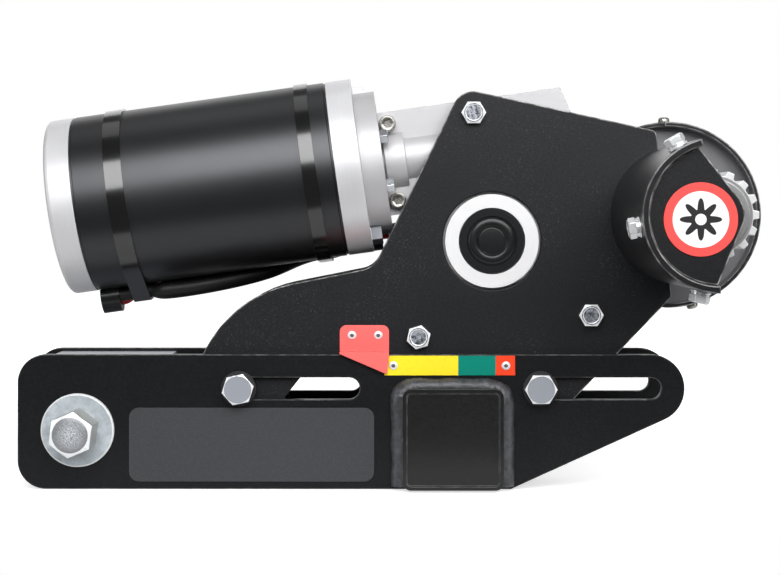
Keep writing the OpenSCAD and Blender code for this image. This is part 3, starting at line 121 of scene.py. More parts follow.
class MoverColours(bpy.types.PropertyGroup):
    """Colours of the finishes, as they show on screen."""

    coat: colour("Coat", "Powder coat on the cheeks", 22, 23, 26)
    base_coat: colour("Base coat", "Coat on the base plates", 19, 20, 22)
    # The inside of the black dish is painted light grey as painted sheen
    dish: colour("Dish", "Coat inside the dished cover", 108, 108, 111)
    # Edge colour: partly real scuffing of the coat, partly painted highlight on edges that the lamps leave
    # unlit
    worn_and_highlight: colour("Wear and highlight", "Worn edges of the coat", 190, 189, 187)
    can: colour("Can", "Motor can", 6, 6, 7)
    strap: colour("Strap", "Motor straps", 8, 8, 9)
    silver: colour("Silver", "Motor end cap and front ring", 222, 222, 225)
    cast: colour("Cast", "Cast housing", 197, 196, 198)
    turned: colour("Turned", "Machined aluminium", 222, 222, 223)
    zinc: colour("Zinc", "Zinc on the bolts", 208, 211, 216)
    washer: colour("Washer", "Bluish zinc on the large washer", 186, 195, 201)
    edge: colour("Edge", "Bright zinc on chamfers and rims", 238, 240, 242)
    zinc_face: colour("Zinc face", "Zinc on the guide bolts' faces", 152, 156, 164)
    # This colour is also painted shade on the lower lug of the motor's front ring
    dark_steel: colour("Dark steel and shade", "Unplated steel", 110, 112, 116)
    screw: colour("Screw", "Steel of the small screws", 172, 170, 164)
    # The weld's black coat is painted lighter here as painted sheen where it catches the light
    weld: colour("Weld", "Coat on the weld", 62, 63, 67)
    label: colour("Label", "Bare label film", 57, 58, 61)
    pointer: colour("Pointer", "Pointer", 244, 106, 102)
    yellow: colour("Yellow", "First field of the scale", 248, 220, 44)
    green: colour("Green", "Middle field of the scale", 0, 128, 111)
    orange: colour("Orange", "Last field of the scale", 238, 70, 36)
    sign_red: colour("Sign red", "Ring of the sign disc", 238, 80, 76)
    sign_white: colour("Sign white", "Field of the sign disc", 240, 240, 240)
    sign_dark: colour("Sign dark", "Motif of the sign disc", 36, 34, 36)
    rubber: colour("Rubber", "Rubber cap", 24, 25, 26)
    plastic: colour("Plastic", "Black plastic", 24, 24, 25)
    red_lead: colour("Red lead", "Red motor lead", 214, 22, 32)
    bronze: colour("Bronze", "Bushes, nut and worm wheel", 196, 158, 92)
    copper: colour("Copper", "Commutator", 205, 130, 84)
    floor: colour("Floor", "Studio floor", 226, 226, 226)


class Value:
    """An output socket that can be used in sums."""

    def __init__(self, finish, socket):
        self.finish = finish
        self.socket = socket

    def work(self, operation, first, second):
        return self.finish.add("ShaderNodeMath", {0: first, 1: second}, {"operation": operation})

    def __add__(self, other):
        return self.work("ADD", self, other)

    def __radd__(self, other):
        return self.work("ADD", other, self)

    def __sub__(self, other):
        return self.work("SUBTRACT", self, other)

    def __rsub__(self, other):
        return self.work("SUBTRACT", other, self)

    def __mul__(self, other):
        return self.work("MULTIPLY", self, other)

    def __rmul__(self, other):
        return self.work("MULTIPLY", other, self)

    def __pow__(self, other):
        return self.work("POWER", self, other)

    def above(self, other):
        return self.work("GREATER_THAN", self, other)


class Finish:
    """A material and the nodes that make it."""

    def __init__(self, name):
        self.material = bpy.data.materials.new(name)
        self.material.use_nodes = True
        self.tree = self.material.node_tree
        self.surface = self.tree.nodes["Principled BSDF"]

    def add(self, kind, inputs=None, settings=None, output=0):
        """Adds a node: its settings first, then its socket values and links."""
        node = self.tree.nodes.new(kind)
        for name, value in (settings or {}).items():
            setattr(node, name, value)
        for name, value in (inputs or {}).items():
            self.plug(node.inputs[name], value)
        return Value(self, node.outputs[output])

    def plug(self, socket, value):
        if isinstance(value, Value):
            self.tree.links.new(value.socket, socket)
        elif socket.type == "RGBA":
            socket.default_value = (*tuple(value)[:3], 1)
        else:
            socket.default_value = value

    def shows(self, **inputs):
        """Sets the surface, with socket names written with low lines."""
        for name, value in inputs.items():
            self.plug(self.surface.inputs[name.replace("_", " ")], value)
        return self.material

    def place(self, turn=(0, 0, 0), shift=(0, 0, 0)):
        """Object coordinates, turned and moved."""
        spot = self.add("ShaderNodeTexCoord", output="Object")
        if not any((*turn, *shift)):
            return spot
        return self.add("ShaderNodeMapping", {"Vector": spot, "Location": shift, "Rotation": turn},
                        {"vector_type": "TEXTURE"})

    def noise(self, scale, detail=2, rough=0.5):
        """Soft random spots, with the scale given per metre."""
        return self.add("ShaderNodeTexNoise", {"Vector": self.place(), "Scale": scale,
                                               "Detail": detail, "Roughness": rough})

    def lines(self, along, scale, detail=1):
        """Fine random lines across one coordinate."""
        return self.add("ShaderNodeTexNoise", {"W": along, "Scale": scale, "Detail": detail},
                        {"noise_dimensions": "1D"})

    def axes(self, spot=None):
        """The three coordinates as values."""
        node = self.tree.nodes.new("ShaderNodeSeparateXYZ")
        self.plug(node.inputs[0], spot or self.place())
        return [Value(self, socket) for socket in node.outputs]

    def around(self, middle):
        """X and Z from a place in the side view, and the distance from it."""
        x, y, z = self.axes(self.place(shift=(middle[0] * MM, 0, middle[1] * MM)))
        return x, z, (x * x + z * z) ** 0.5

    def span(self, value, low, high, out_low=0.0, out_high=1.0):
        """Maps a range of a value to another range, and holds it there."""
        return self.add("ShaderNodeMapRange", {"Value": value, "From Min": low, "From Max": high,
                                               "To Min": out_low, "To Max": out_high}, {"clamp": True})

    def mix(self, share, first, second):
        """A colour between two colours."""
        return self.add("ShaderNodeMix", {0: share, 6: first, 7: second}, {"data_type": "RGBA"}, 2)

    def bump(self, height, strength, depth=0.0003):
        """A normal that follows a height."""
        return self.add("ShaderNodeBump", {"Height": height, "Strength": strength, "Distance": depth})

    def wear(self):
        """One in the middle of a rounded edge, nought on the faces beside it: where scuffing and painted
        highlight go.
        """
        return self.add("ShaderNodeAttribute", settings={"attribute_name": "edge_wear"}, output="Fac")


def coated(name, shade, worn_and_highlight, rough, specular, grain, edges, flecks=0.12):
    """Black coat with a fine grain, a few flecks, and lighter edges that are partly real scuffing and
    partly painted highlight.
    """
    f = Finish(name)
    tone = f.span(f.noise(800, 2), 0.35, 0.7)
    patch = f.noise(18, 3)
    # Lighter edges: partly real scuffing, partly painted highlight
    rubbed_and_lit = f.wear() * f.span(f.noise(160, 3), 0.42, 0.66, 0.15, 1) * edges
    skin = f.mix(tone, toned(shade, 0.75), toned(shade, 1.4))
    fleck = f.span(f.noise(1700, 1), 0.66, 0.78, 0, flecks)
    dusted = f.mix(fleck * f.span(patch, 0.4, 0.65), skin, worn_and_highlight)
    return f.shows(Base_Color=f.mix(rubbed_and_lit, dusted, worn_and_highlight), Roughness=rough + patch * 0.08,
                   Specular_IOR_Level=specular, Normal=f.bump(f.noise(1300, 2), grain))


def weld_skin(shade):
    """Lumpy coat on the weld, painted lighter than the black coat as painted sheen."""
    f = Finish("weld sheen coat")
    lumps = f.noise(230, 3, 0.6)
    tone = f.span(lumps, 0.35, 0.7)
    return f.shows(Base_Color=f.mix(tone, toned(shade, 0.6), toned(shade, 1.5)), Roughness=0.40,
                   Specular_IOR_Level=0.5, Normal=f.bump(lumps, 0.6, 0.0012))


def satin_can(shade):
    """Black lacquer on the motor can."""
    f = Finish("satin black can")
    patch = f.noise(30, 3)
    return f.shows(Base_Color=shade, Roughness=0.34 + patch * 0.06, Specular_IOR_Level=0.8,
                   Specular_Tint=(0.93, 0.95, 1.0, 1.0), Normal=f.bump(f.noise(900, 2), 0.03))


def gloss_black(name, shade, rough):
    """Shiny black with a clear coat."""
    f = Finish(name)
    return f.shows(Base_Color=shade, Roughness=rough + f.noise(60, 2) * 0.08, Specular_IOR_Level=0.8,
                   Coat_Weight=0.4, Coat_Roughness=rough)


def turned_metal(name, shade, rough, depth, axis, metal=1.0):
    """Turned or brushed metal, with fine lines that run round one axis."""
    f = Finish(name)
    x, y, z = f.axes(f.place(turn=axis))
    ring = f.lines(z, 2600, 2)
    patch = f.noise(40, 3)
    tone = f.span(ring * 0.5 + patch * 0.5, 0.3, 0.7)
    return f.shows(Base_Color=f.mix(tone, toned(shade, 0.82), shade), Metallic=metal,
                   Roughness=rough + tone * 0.07, Normal=f.bump(ring, depth))


def roller_metal(shade):
    """Bright teeth round a turned collar that is painted darker as painted shade from the shield's end
    plate.
    """
    f = Finish("roller aluminium")
    x, z, out = f.around(ROLLER)
    beyond_shaded_collar = f.span(out, 20.6 * MM, 21.2 * MM)
    ring = f.lines(out, 2400)
    # The collar takes a darker copy of the aluminium: painted shade
    return f.shows(Base_Color=f.mix(beyond_shaded_collar, toned(shade, 0.5), shade), Metallic=0.85 - beyond_shaded_collar * 0.5,
                   Roughness=0.28 + ring * 0.1, Normal=f.bump(ring, 0.05))


def cast_metal(shade):
    """Cast aluminium with a fine sandy skin."""
    f = Finish("cast aluminium")
    sand = f.noise(520, 3)
    patch = f.noise(35, 3)
    return f.shows(Base_Color=f.mix(patch, toned(shade, 0.84), shade), Metallic=0.4,
                   Roughness=0.42 + patch * 0.12, Normal=f.bump(sand, 0.2))


def faced_metal(name, shade):
    """A faced ring: fine circles round the layshaft's axis."""
    f = Finish(name)
    x, z, out = f.around(LAYSHAFT)
    ring = f.lines(out, 2200)
    return f.shows(Base_Color=shade, Metallic=0.25, Roughness=0.40 + ring * 0.12, Normal=f.bump(ring, 0.1))


def forged_face(name, shade, scale, low, middle=None):
    """Zinc over the coarse grain of a forged head, which may darken away from its middle."""
    f = Finish(name)
    grain = f.noise(scale, 3, 0.65)
    tone = f.span(grain, 0.38, 0.60)
    if middle:
        x, z, out = f.around(middle)
        tone = tone * f.span(out, 2 * MM, 9.5 * MM, 1, 0.12)
    return f.shows(Base_Color=f.mix(tone, toned(shade, low), toned(shade, 1.25)), Metallic=0.4,
                   Roughness=0.30, Normal=f.bump(grain, 0.5))


def plated(name, shade, rough, mottle, grain, metal=0.9):
    """Bright zinc: a mottled tone and a faint bump."""
    f = Finish(name)
    blotch = f.noise(190, 3, 0.6)
    fine = f.noise(900, 2)
    tone = f.span(blotch, 0.35, 0.65)
    return f.shows(Base_Color=f.mix(tone, toned(shade, 1 - mottle), shade), Metallic=metal,
                   Roughness=rough + blotch * 0.12, Normal=f.bump(fine + blotch, grain))


def plain(name, shade, rough, metal=0.0, grain=0.05, scale=600, specular=0.5):
    """One colour with a fine grain."""
    f = Finish(name)
    fine = f.noise(scale, 2)
    return f.shows(Base_Color=shade, Roughness=rough + fine * 0.1, Metallic=metal,
                   Specular_IOR_Level=specular, Normal=f.bump(fine, grain))


def label_film(shade):
    """Matt film with a fine speckle."""
    f = Finish("label film")
    speck = f.span(f.noise(1100, 1), 0.45, 0.7)
    return f.shows(Base_Color=f.mix(speck, shade, toned(shade, 1.2)), Roughness=0.55,
                   Specular_IOR_Level=0.25)


def scale_print(yellow, green, orange):
    """Three fields along X, yellow to orange."""
    f = Finish("scale print")
    x, y, z = f.axes()
    first = f.mix(x.above(3.3 * MM), yellow, green)
    dust = f.span(f.noise(500, 2), 0.6, 0.75, 0, 0.12)
    fields = f.mix(x.above(25.8 * MM), first, orange)
    return f.shows(Base_Color=f.mix(dust, fields, (0.1, 0.1, 0.1)), Roughness=0.42, Specular_IOR_Level=0.15)


def sign_print(red, white, dark):
    """A red ring round a white field with an eight-leaved rosette."""
    f = Finish("sign print")
    x, z, out = f.around(SIGN)
    turn = f.add("ShaderNodeMath", {0: z, 1: x}, {"operation": "ARCTAN2"})
    wave = f.add("ShaderNodeMath", {0: turn * 8}, {"operation": "COSINE"})
    leaf = (8.3 * MM + wave * (2.9 * MM)).above(out) * out.above(3.0 * MM)
    field = f.mix(leaf, white, dark)
    return f.shows(Base_Color=f.mix(out.above(14.9 * MM), field, red), Roughness=0.4,
                   Specular_IOR_Level=0.3)


def make_finishes(c):
    """All finishes, under the names that the pieces ask for."""
    coat, worn_and_highlight = c.coat, c.worn_and_highlight
    # Turns Z onto the motor's axis
    across = (0, radians(82), 0)
    FINISHES.update({
        # The edges number of each coat sets how much scuffed colour and painted highlight its rounded edges
        # take
        "coat": coated("powder coat", coat, worn_and_highlight, 0.36, 0.26, 0.18, 0.8, 0.2),
        # The shield takes a darker copy of the coat: painted shade
        "shaded_shield_coat": coated("shaded shield coat", toned(coat, 0.62), worn_and_highlight, 0.27, 0.9, 0.05, 0.6),
        # A darker copy of the coat for the end plate and for the shield's faces that look to the front or
        # rear: painted shade
        "shaded_plate_coat": coated("shaded end plate coat", toned(coat, 0.8), worn_and_highlight, 0.32, 0.3, 0.06, 0.8),
        "dish_sheen_coat": plain("dish sheen coat", c.dish, 0.32, 0.0, 0.01, 300, 0.7),
        "base_coat": coated("base coat", c.base_coat, worn_and_highlight, 0.27, 0.24, 0.05, 0.28, 0.06),
        "weld_sheen_coat": weld_skin(c.weld),
        "cap_plastic": coated("cap plastic", c.plastic, worn_and_highlight, 0.18, 0.5, 0.02, 0.25, 0.03),
        "can": satin_can(c.can),
        "strap": gloss_black("gloss strap", c.strap, 0.14),
        "silver": turned_metal("satin silver", c.silver, 0.40, 0.03, across, 0.36),
        "cast": cast_metal(c.cast),
        "faced": faced_metal("faced aluminium", c.turned),
        "roller": roller_metal(c.turned),
        "zinc": plated("bright zinc", c.zinc, 0.13, 0.10, 0.012, 0.85),
        "washer": plated("zinc washer", c.washer, 0.30, 0.26, 0.04, 0.15),
        "forged": forged_face("forged zinc", c.zinc_face, 550, 0.14),
        "forged_end": forged_face("forged end", c.zinc, 1300, 0.34, ENGAGEMENT),
        "zinc_face": plain("zinc face", c.zinc_face, 0.30, 0.2, 0.02),
        "zinc_side": plain("zinc side", c.screw, 0.25, 0.6, 0.02),
        "bright_edge": plain("bright zinc edge", c.edge, 0.24, 0.25, 0.01),
        "bright_bolt": plain("bright zinc bolt", c.edge, 0.18, 0.6, 0.01),
        "bush": plain("black steel", c.plastic, 0.4, 0.0, 0.03),
        "web": plain("zinc sheet", c.zinc_face, 0.40, 0.3, 0.05),
        "screw": plated("screw steel", c.screw, 0.22, 0.2, 0.05),
        "dark_steel": plain("dark steel and shade", c.dark_steel, 0.38, 0.9),
        "gear_steel": plain("gear steel", c.dark_steel, 0.30, 1.0, 0.03),
        "label": label_film(c.label),
        "scale": scale_print(c.yellow, c.green, c.orange),
        "sign": sign_print(c.sign_red, c.sign_white, c.sign_dark),
        "rivet": plain("rivet aluminium", c.edge, 0.26, 0.3, 0.02),
        "pointer": plain("pointer plastic", c.pointer, 0.36, 0.0, 0.04, 500, 0.35),
        "rubber": plain("rubber", c.rubber, 0.20, 0.0, 0.02, 700, 0.36),
        "plastic": plain("black plastic", c.plastic, 0.42, 0.0, 0.05, 700, 0.4),
        "red_lead": plain("red lead sheath", c.red_lead, 0.36, 0.0, 0.03, 400, 0.4),
        "black_lead": plain("black lead sheath", c.plastic, 0.40, 0.0, 0.03, 400, 0.4),
        "bronze": plain("bronze", c.bronze, 0.34, 1.0, 0.04),
        "copper": plain("copper", c.copper, 0.32, 1.0, 0.03),
        "ferrite": plain("ferrite", c.plastic, 0.62, 0.0, 0.12, 800, 0.3),
        "carbon": plain("carbon", c.plastic, 0.55, 0.0, 0.1, 800, 0.4),
    })


def fresh():
    """An empty mesh with the layer that marks edges for scuffing and painted highlight."""
    bm = bmesh.new()
    bm.verts.layers.float.new("edge_wear")
    return bm


def merged(node):
    """A copy of a CAD node's mesh, with doubles and flat edges merged."""
    bm = fresh()
    bm.from_mesh(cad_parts[node].data)
    bmesh.ops.remove_doubles(bm, verts=bm.verts, dist=2e-6)
    bmesh.ops.dissolve_limit(bm, angle_limit=radians(1), verts=bm.verts, edges=bm.edges)
    bmesh.ops.recalc_face_normals(bm, faces=bm.faces)
    return bm


def without_sleeve_hole(bm, half=30.7 * MM):
    """Closes the square hole that the sleeve fills."""
    walls = [face for face in bm.faces if abs(face.normal.y) < 0.5
             and all(max(abs(vert.co.x), abs(vert.co.z)) < half for vert in face.verts)]
    bmesh.ops.delete(bm, geom=walls, context="FACES")
    bmesh.ops.holes_fill(bm, edges=[edge for edge in bm.edges if edge.is_boundary])
    bmesh.ops.dissolve_limit(bm, angle_limit=radians(1), verts=bm.verts, edges=bm.edges)
    return bm


def soften(bm, width, limit=28, segments=3, chosen=None):
    """Rounds every chosen edge that is sharper than the limit, and marks the rounded strips.

    Rims keep their full width, because they have no narrow faces beside them.
    """
    edges = [edge for edge in bm.edges if edge.is_manifold and edge.calc_face_angle(0) > radians(limit)
             and (chosen is None or chosen(edge))]
    rounded = bmesh.ops.bevel(bm, geom=edges, offset=width, offset_type="OFFSET", affect="EDGES",
                              segments=segments, profile=0.5, material=-1,
                              clamp_overlap=chosen is not on_rim)
    strips = set(rounded["faces"])
    # The rounded strips are marked for scuffing and painted highlight
    layer = bm.verts.layers.float["edge_wear"]
    for vert in rounded["verts"]:
        if all(face in strips for face in vert.link_faces):
            vert[layer] = 1
    return bm


def new_piece(name, bm, finish, body, replaced):
    """Makes the mesh an object that rides on a body and stands for CAD nodes."""
    bmesh.ops.recalc_face_normals(bm, faces=bm.faces)
    mesh = bpy.data.meshes.new(name)
    bm.to_mesh(mesh)
    bm.free()
    mesh.shade_smooth()
    mesh.set_sharp_from_angle(angle=SMOOTH_LIMIT)
    piece = bpy.data.objects.new(name, mesh)
    bpy.context.scene.collection.objects.link(piece)
    mesh.materials.append(FINISHES[finish])
    even = piece.modifiers.new("Even normals", "WEIGHTED_NORMAL")
    even.keep_sharp = True
    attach(piece, body)
    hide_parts(*replaced)
    return piece


def softened(name, node, width, finish, body, chosen=None):
    """A rounded copy of one CAD node."""
    return new_piece(name, soften(merged(node), width, chosen=chosen), finish, body, [node])


def on_rim(edge):
    """Picks outer edges of faces that look to the front or the rear."""
    return edge.is_convex and any(abs(face.normal.y) > FLAT for face in edge.link_faces)


def face_finish(piece, finish, chosen):
    """Gives a second finish to the faces that are chosen by their middle and normal."""
    piece.data.materials.append(FINISHES[finish])
    number = len(piece.data.materials) - 1
    for face in piece.data.polygons:
        if chosen(face.center / MM, face.normal):
            face.material_index = number


def facing(middle, normal):
    """Picks faces that look to the front or the rear."""
    return abs(normal.y) > FLAT


def sloping(middle, normal):
    """Picks the chamfers round a head."""
    return 0.5 < abs(normal.y) < FLAT


def clear_wear_and_highlight(piece, middle, radius):
    """Takes the scuffing and painted highlight off the edges round a place in the side view."""
    mark = piece.data.attributes["edge_wear"].data
    for vert in piece.data.vertices:
        if hypot(vert.co.x / MM - middle[0], vert.co.z / MM - middle[1]) < radius:
            mark[vert.index].value = 0


def dress(finish, *nodes):
    """Gives CAD nodes that stay shown a finish."""
    for node in nodes:
        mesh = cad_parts[node].data
        mesh.materials.clear()
        mesh.materials.append(FINISHES[finish])


def grow(bm, face, keep):
    """Extrudes a face in place and gives the new face and its corners. The old face can stay as an end."""
    grown = bmesh.ops.extrude_face_region(bm, geom=[face])["geom"]
    if not keep:
        bmesh.ops.delete(bm, geom=[face], context="FACES_ONLY")
    fresh_face = [part for part in grown if isinstance(part, bmesh.types.BMFace)][0]
    return fresh_face, [part for part in grown if isinstance(part, bmesh.types.BMVert)]


def loft(bm, place, rings, sides=72):
    """Adds a closed shape about the place's own Z: each ring is a radius and a height for an angle."""
    verts = bmesh.ops.create_circle(bm, cap_ends=True, radius=1, segments=sides)["verts"]
    face = verts[0].link_faces[0]
    made = list(verts)
    for number, ring in enumerate(rings):
        if number:
            face, verts = grow(bm, face, number == 1)
            made += verts
        for vert in verts:
            turn = atan2(vert.co.y, vert.co.x)
            reach, height = ring(turn) if callable(ring) else ring
            vert.co = (reach * cos(turn) * MM, reach * sin(turn) * MM, height * MM)
    bmesh.ops.transform(bm, matrix=place, verts=made)


def lathe(bm, place, profile, steps=128):
    """Adds a closed ring: a profile of radius and height, spun about the place's own Z."""
    verts = [bm.verts.new((reach * MM, 0, height * MM)) for reach, height in profile]
    edges = [bm.edges.new((verts[k - 1], verts[k])) for k in range(len(verts))]
    known = set(bm.verts) - set(verts)
    bmesh.ops.spin(bm, geom=verts + edges, cent=(0, 0, 0), axis=(0, 0, 1), angle=2 * pi, steps=steps,
                   use_merge=True)
    bmesh.ops.transform(bm, matrix=place, verts=[vert for vert in bm.verts if vert not in known])


def sweep(bm, places, radius, sides=20):
    """Adds a closed tube through a row of places."""
    verts = bmesh.ops.create_circle(bm, cap_ends=True, radius=radius, segments=sides,
                                    matrix=places[0])["verts"]
    face = verts[0].link_faces[0]
    for number, (here, there) in enumerate(zip(places, places[1:])):
        face, verts = grow(bm, face, number == 0)
        bmesh.ops.transform(bm, matrix=there @ here.inverted(), verts=verts)


def places_along(points):
    """Places along a line of points, with Z along it and little twist."""
    turn = (points[1] - points[0]).to_track_quat("Z", "Y")
    places = []
    for k, point in enumerate(points):
        ahead = points[min(k + 1, len(points) - 1)] - points[max(k - 1, 0)]
        turn = (turn @ Vector((0, 0, 1))).rotation_difference(ahead) @ turn
        places.append(Matrix.Translation(point) @ turn.to_matrix().to_4x4())
    return places


def curve_through(points, steps):
    """Points on a smooth curve through the given points."""
    found = []
    for k in range(len(points) - 1):
        a = points[max(k - 1, 0)]
        b = points[k]
        c = points[k + 1]
        d = points[min(k + 2, len(points) - 1)]
        for step in range(steps):
            t = step / steps
            found.append(0.5 * (2 * b + (c - a) * t + (2 * a - 5 * b + 4 * c - d) * t ** 2
                                + (3 * b - a - 3 * c + d) * t ** 3))
    return found + [points[-1]]


def outward(x, y, z, front=True):
    """A place with Z out of the front or the rear."""
    turn = Matrix.Rotation(radians(90 if front else -90), 4, "X")
    return Matrix.Translation((x * MM, y * MM, z * MM)) @ turn


def both_sides(x, depth, z):
    """Places out of the front and out of the rear, at one depth from the middle."""
    return outward(x, -depth, z), outward(x, depth, z, False)


def six_sided(flats):
    """Reach of a hexagon at an angle, with a corner at nought."""
    return lambda turn: flats / 2 / cos(turn % (pi / 3) - pi / 6)


def hex_bolt(bm, place, flats, height, turn=0.0, shank=(4, 12), dish=0.35, dome=0.0, share=0.44):
    """A hexagon head with a conical crown, standing on its seat at nought."""
    reach = six_sided(flats)
    crown = flats * share
    slope = tan(radians(30))
    thick, deep = shank
    rings = [(thick, -deep), (thick, 0), lambda a: (reach(a), 0),
             lambda a: (reach(a), height - max(0, reach(a) - crown) * slope), (crown, height)]
    if dome:
        rings += [(crown * 0.8, height + dome * 0.5), (crown * 0.55, height + dome * 0.85),
                  (crown * 0.25, height + dome)]
    else:
        rings += [(crown * 0.88, height), (crown * 0.80, height - dish)]
    loft(bm, place @ Matrix.Rotation(radians(turn), 4, "Z"), rings)


def socket_screw(bm, place, radius, height, shank, flats):
    """A cylinder head with a six-sided socket."""
    key = six_sided(flats)
    thick, deep = shank
    loft(bm, place, [(thick, -deep), (thick, 0), (radius, 0), (radius, height - 0.5),
                     (radius - 0.5, height), (radius * 0.72, height), lambda a: (key(a), height - 0.2),
                     lambda a: (key(a), height / 2)])


def dome(bm, place, radius, height):
    """A domed rivet head."""
    loft(bm, place, [(radius, -0.2), (radius, height * 0.2), (radius * 0.93, height * 0.5),
                     (radius * 0.74, height * 0.8), (radius * 0.45, height * 0.97),
                     (radius * 0.15, height * 1.03)], 40)


def pan_head(bm, place, radius, height):
    """A small pan head."""
    loft(bm, place, [(2, -3), (2, 0), (radius, 0), (radius, height * 0.45), (radius * 0.93, height * 0.72),
                     (radius * 0.75, height * 0.92), (radius * 0.5, height), (radius * 0.16, height),
                     (radius * 0.12, height * 0.6)], 40)


def radial(angle, y, reach):
    """A place on the roller's shield or dish with Z outward along a radius."""
    axis = Matrix.Translation((ROLLER[0] * MM, y * MM, ROLLER[1] * MM))
    return axis @ Matrix.Rotation(radians(90 - angle), 4, "Y") @ Matrix.Translation((0, 0, reach * MM))


def lead_point(along, turn, lift):
    """A point under the motor can, given as in the CAD: along, turn from below, lift off its face."""
    reach = MOTOR_R + lift
    spot = Vector((CAN_LEFT + along, reach * sin(radians(turn)), -reach * cos(radians(turn))))
    return MOTOR @ (spot * MM)


class MoverStep(bpy.types.Operator):
    """Shared settings of the steps."""

    bl_options = {"REGISTER", "UNDO"}

    def sizes(self, context):
        return context.scene.mover_sizes


class MOVER_OT_finishes(MoverStep):
    """Make every finish"""

    bl_idname = "mover.finishes"
    bl_label = "Finishes"

    def execute(self, context):
        make_finishes(context.scene.mover_colours)
        return {"FINISHED"}


class MOVER_OT_base(MoverStep):
    """Base plates, top web, sleeve and its cap"""

    bl_idname = "mover.base"
    bl_label = "Base"

    def execute(self, context):
        s = self.sizes(context)
        for name, node in (("base_plate_front", "base_front_plate"),
                           ("base_plate_rear", "base_rear_plate")):
            bm = soften(without_sleeve_hole(merged(node)), s.base_edge)
            new_piece(name, bm, "base_coat", "base", [node])
        softened("top_web", "base_top_web", s.turned_edge, "web", "base")
        softened("sleeve_tube", "crossbar_sleeve", s.fine_edge, "base_coat", "base")
        bm = merged("crossbar_end_cap")
        face = min(bm.faces, key=lambda f: f.calc_center_median().y)
        bmesh.ops.inset_region(bm, faces=[face], thickness=2.2 * MM, depth=0, use_even_offset=True)
        bmesh.ops.inset_region(bm, faces=[face], thickness=0.7 * MM, depth=-0.7 * MM, use_even_offset=True)
        soften(bm, s.sleeve_edge * 0.6)
        new_piece("sleeve_cap", bm, "cap_plastic", "base", ["crossbar_end_cap"])
        return {"FINISHED"}


class MOVER_OT_welds(MoverStep):
    """Weld bead round the sleeve"""

    bl_idname = "mover.welds"
    bl_label = "Welds"

    def execute(self, context):
        s = self.sizes(context)
        half = 30.2
        low = -29
        depth = -31.2
        corners = [(-half, low), (-half, 20), (-half + 2, 27), (-24, half - 1), (-16, half), (16, half),
                   (24, half - 1), (half - 2, 27), (half, 20), (half, low)]
        line = curve_through([Vector((x * MM, depth * MM, z * MM)) for x, z in corners], 14)
        bm = fresh()
        places = []
        run = 0
        last = line[0]
        for place in places_along(line):
            x, y, z = place.translation / MM
            run += (place.translation - last).length / MM
            last = place.translation.copy()
            # Thinner along the top and thicker at the left corner, with ripples along the run
            top = max(0, min(1, (z - 24) / 6))
            corner = exp(-((x + 28) ** 2 + (z - 27) ** 2) / 60)
            wave = sin(run * 1.9) * s.ripple / s.bead
            size = 1 - 0.22 * top + 0.2 * corner + wave + 0.04 * sin(run * 0.31)
            places.append(place @ Matrix.Diagonal((size, size, 1, 1)))
        sweep(bm, places, s.bead, 28)
        new_piece("weld_bead", bm, "weld_sheen_coat", "base", ["sleeve_welds"])
        return {"FINISHED"}


class MOVER_OT_markings(MoverStep):
    """Bare label, scale, pointer, sign disc and their rivets"""

    bl_idname = "mover.markings"
    bl_label = "Markings"

    def on_crown(self, middle, normal):
        """Picks the middle of a rivet's head."""
        return normal.y < -0.982

    def execute(self, context):
        s = self.sizes(context)
        softened("label_plate", "blank_label", s.fine_edge, "label", "base")
        softened("scale_plate", "scale_strip", s.fine_edge, "scale", "base")
        softened("pointer_sheet", "pointer", s.fine_edge * 2, "pointer", "drive")
        softened("sign_plate", "sign_disc", s.fine_edge, "sign", "drive")
        for name, node, body, across, depth, up, height in (
                ("scale_rivet_heads", "scale_rivets", "base", (-35.5, 31.9), -31.1, 43.1, 0.9),
                ("pointer_rivet_heads", "pointer_rivets", "drive", (-60.4, -44.6), -26.2, 61, 1.1)):
            bm = fresh()
            for x in across:
                dome(bm, outward(x, depth, up), 2.6, height)
            heads = new_piece(name, bm, "rivet", body, [node])
            face_finish(heads, "dark_steel", self.on_crown)
        return {"FINISHED"}


class MOVER_OT_cheeks(MoverStep):
    """The two cheeks of the drive unit"""

    bl_idname = "mover.cheeks"
    bl_label = "Cheeks"

    def gusset(self, bm, depths):
        """A small gusset beside the left leg, whose slant shows through the guide slot."""
        corners = ((-103.5, 20.3), (-87.1, 41), (-103.5, 41))
        near, far = [[bm.verts.new(Vector((x, depth, z)) * MM) for x, z in corners] for depth in depths]
        faces = [bm.faces.new(near), bm.faces.new(far)]
        for this in range(3):
            then = (this + 1) % 3
            faces.append(bm.faces.new((near[this], far[this], far[then], near[then])))
        bmesh.ops.recalc_face_normals(bm, faces=faces)

    def execute(self, context):
        s = self.sizes(context)
        for name, node, depths in (("cheek_front", "drive_front_cheek", (-25.03, -19.97)),
                                   ("cheek_rear", "drive_rear_cheek", (19.97, 25.03))):
            bm = soften(merged(node), s.cheek_edge, chosen=on_rim)
            self.gusset(bm, depths)
            cheek = new_piece(name, bm, "coat", "drive", [node])
            # No scuffing or painted highlight round the boss hole, whose rim lies in shadow
            clear_wear_and_highlight(cheek, LAYSHAFT, 40)
        return {"FINISHED"}


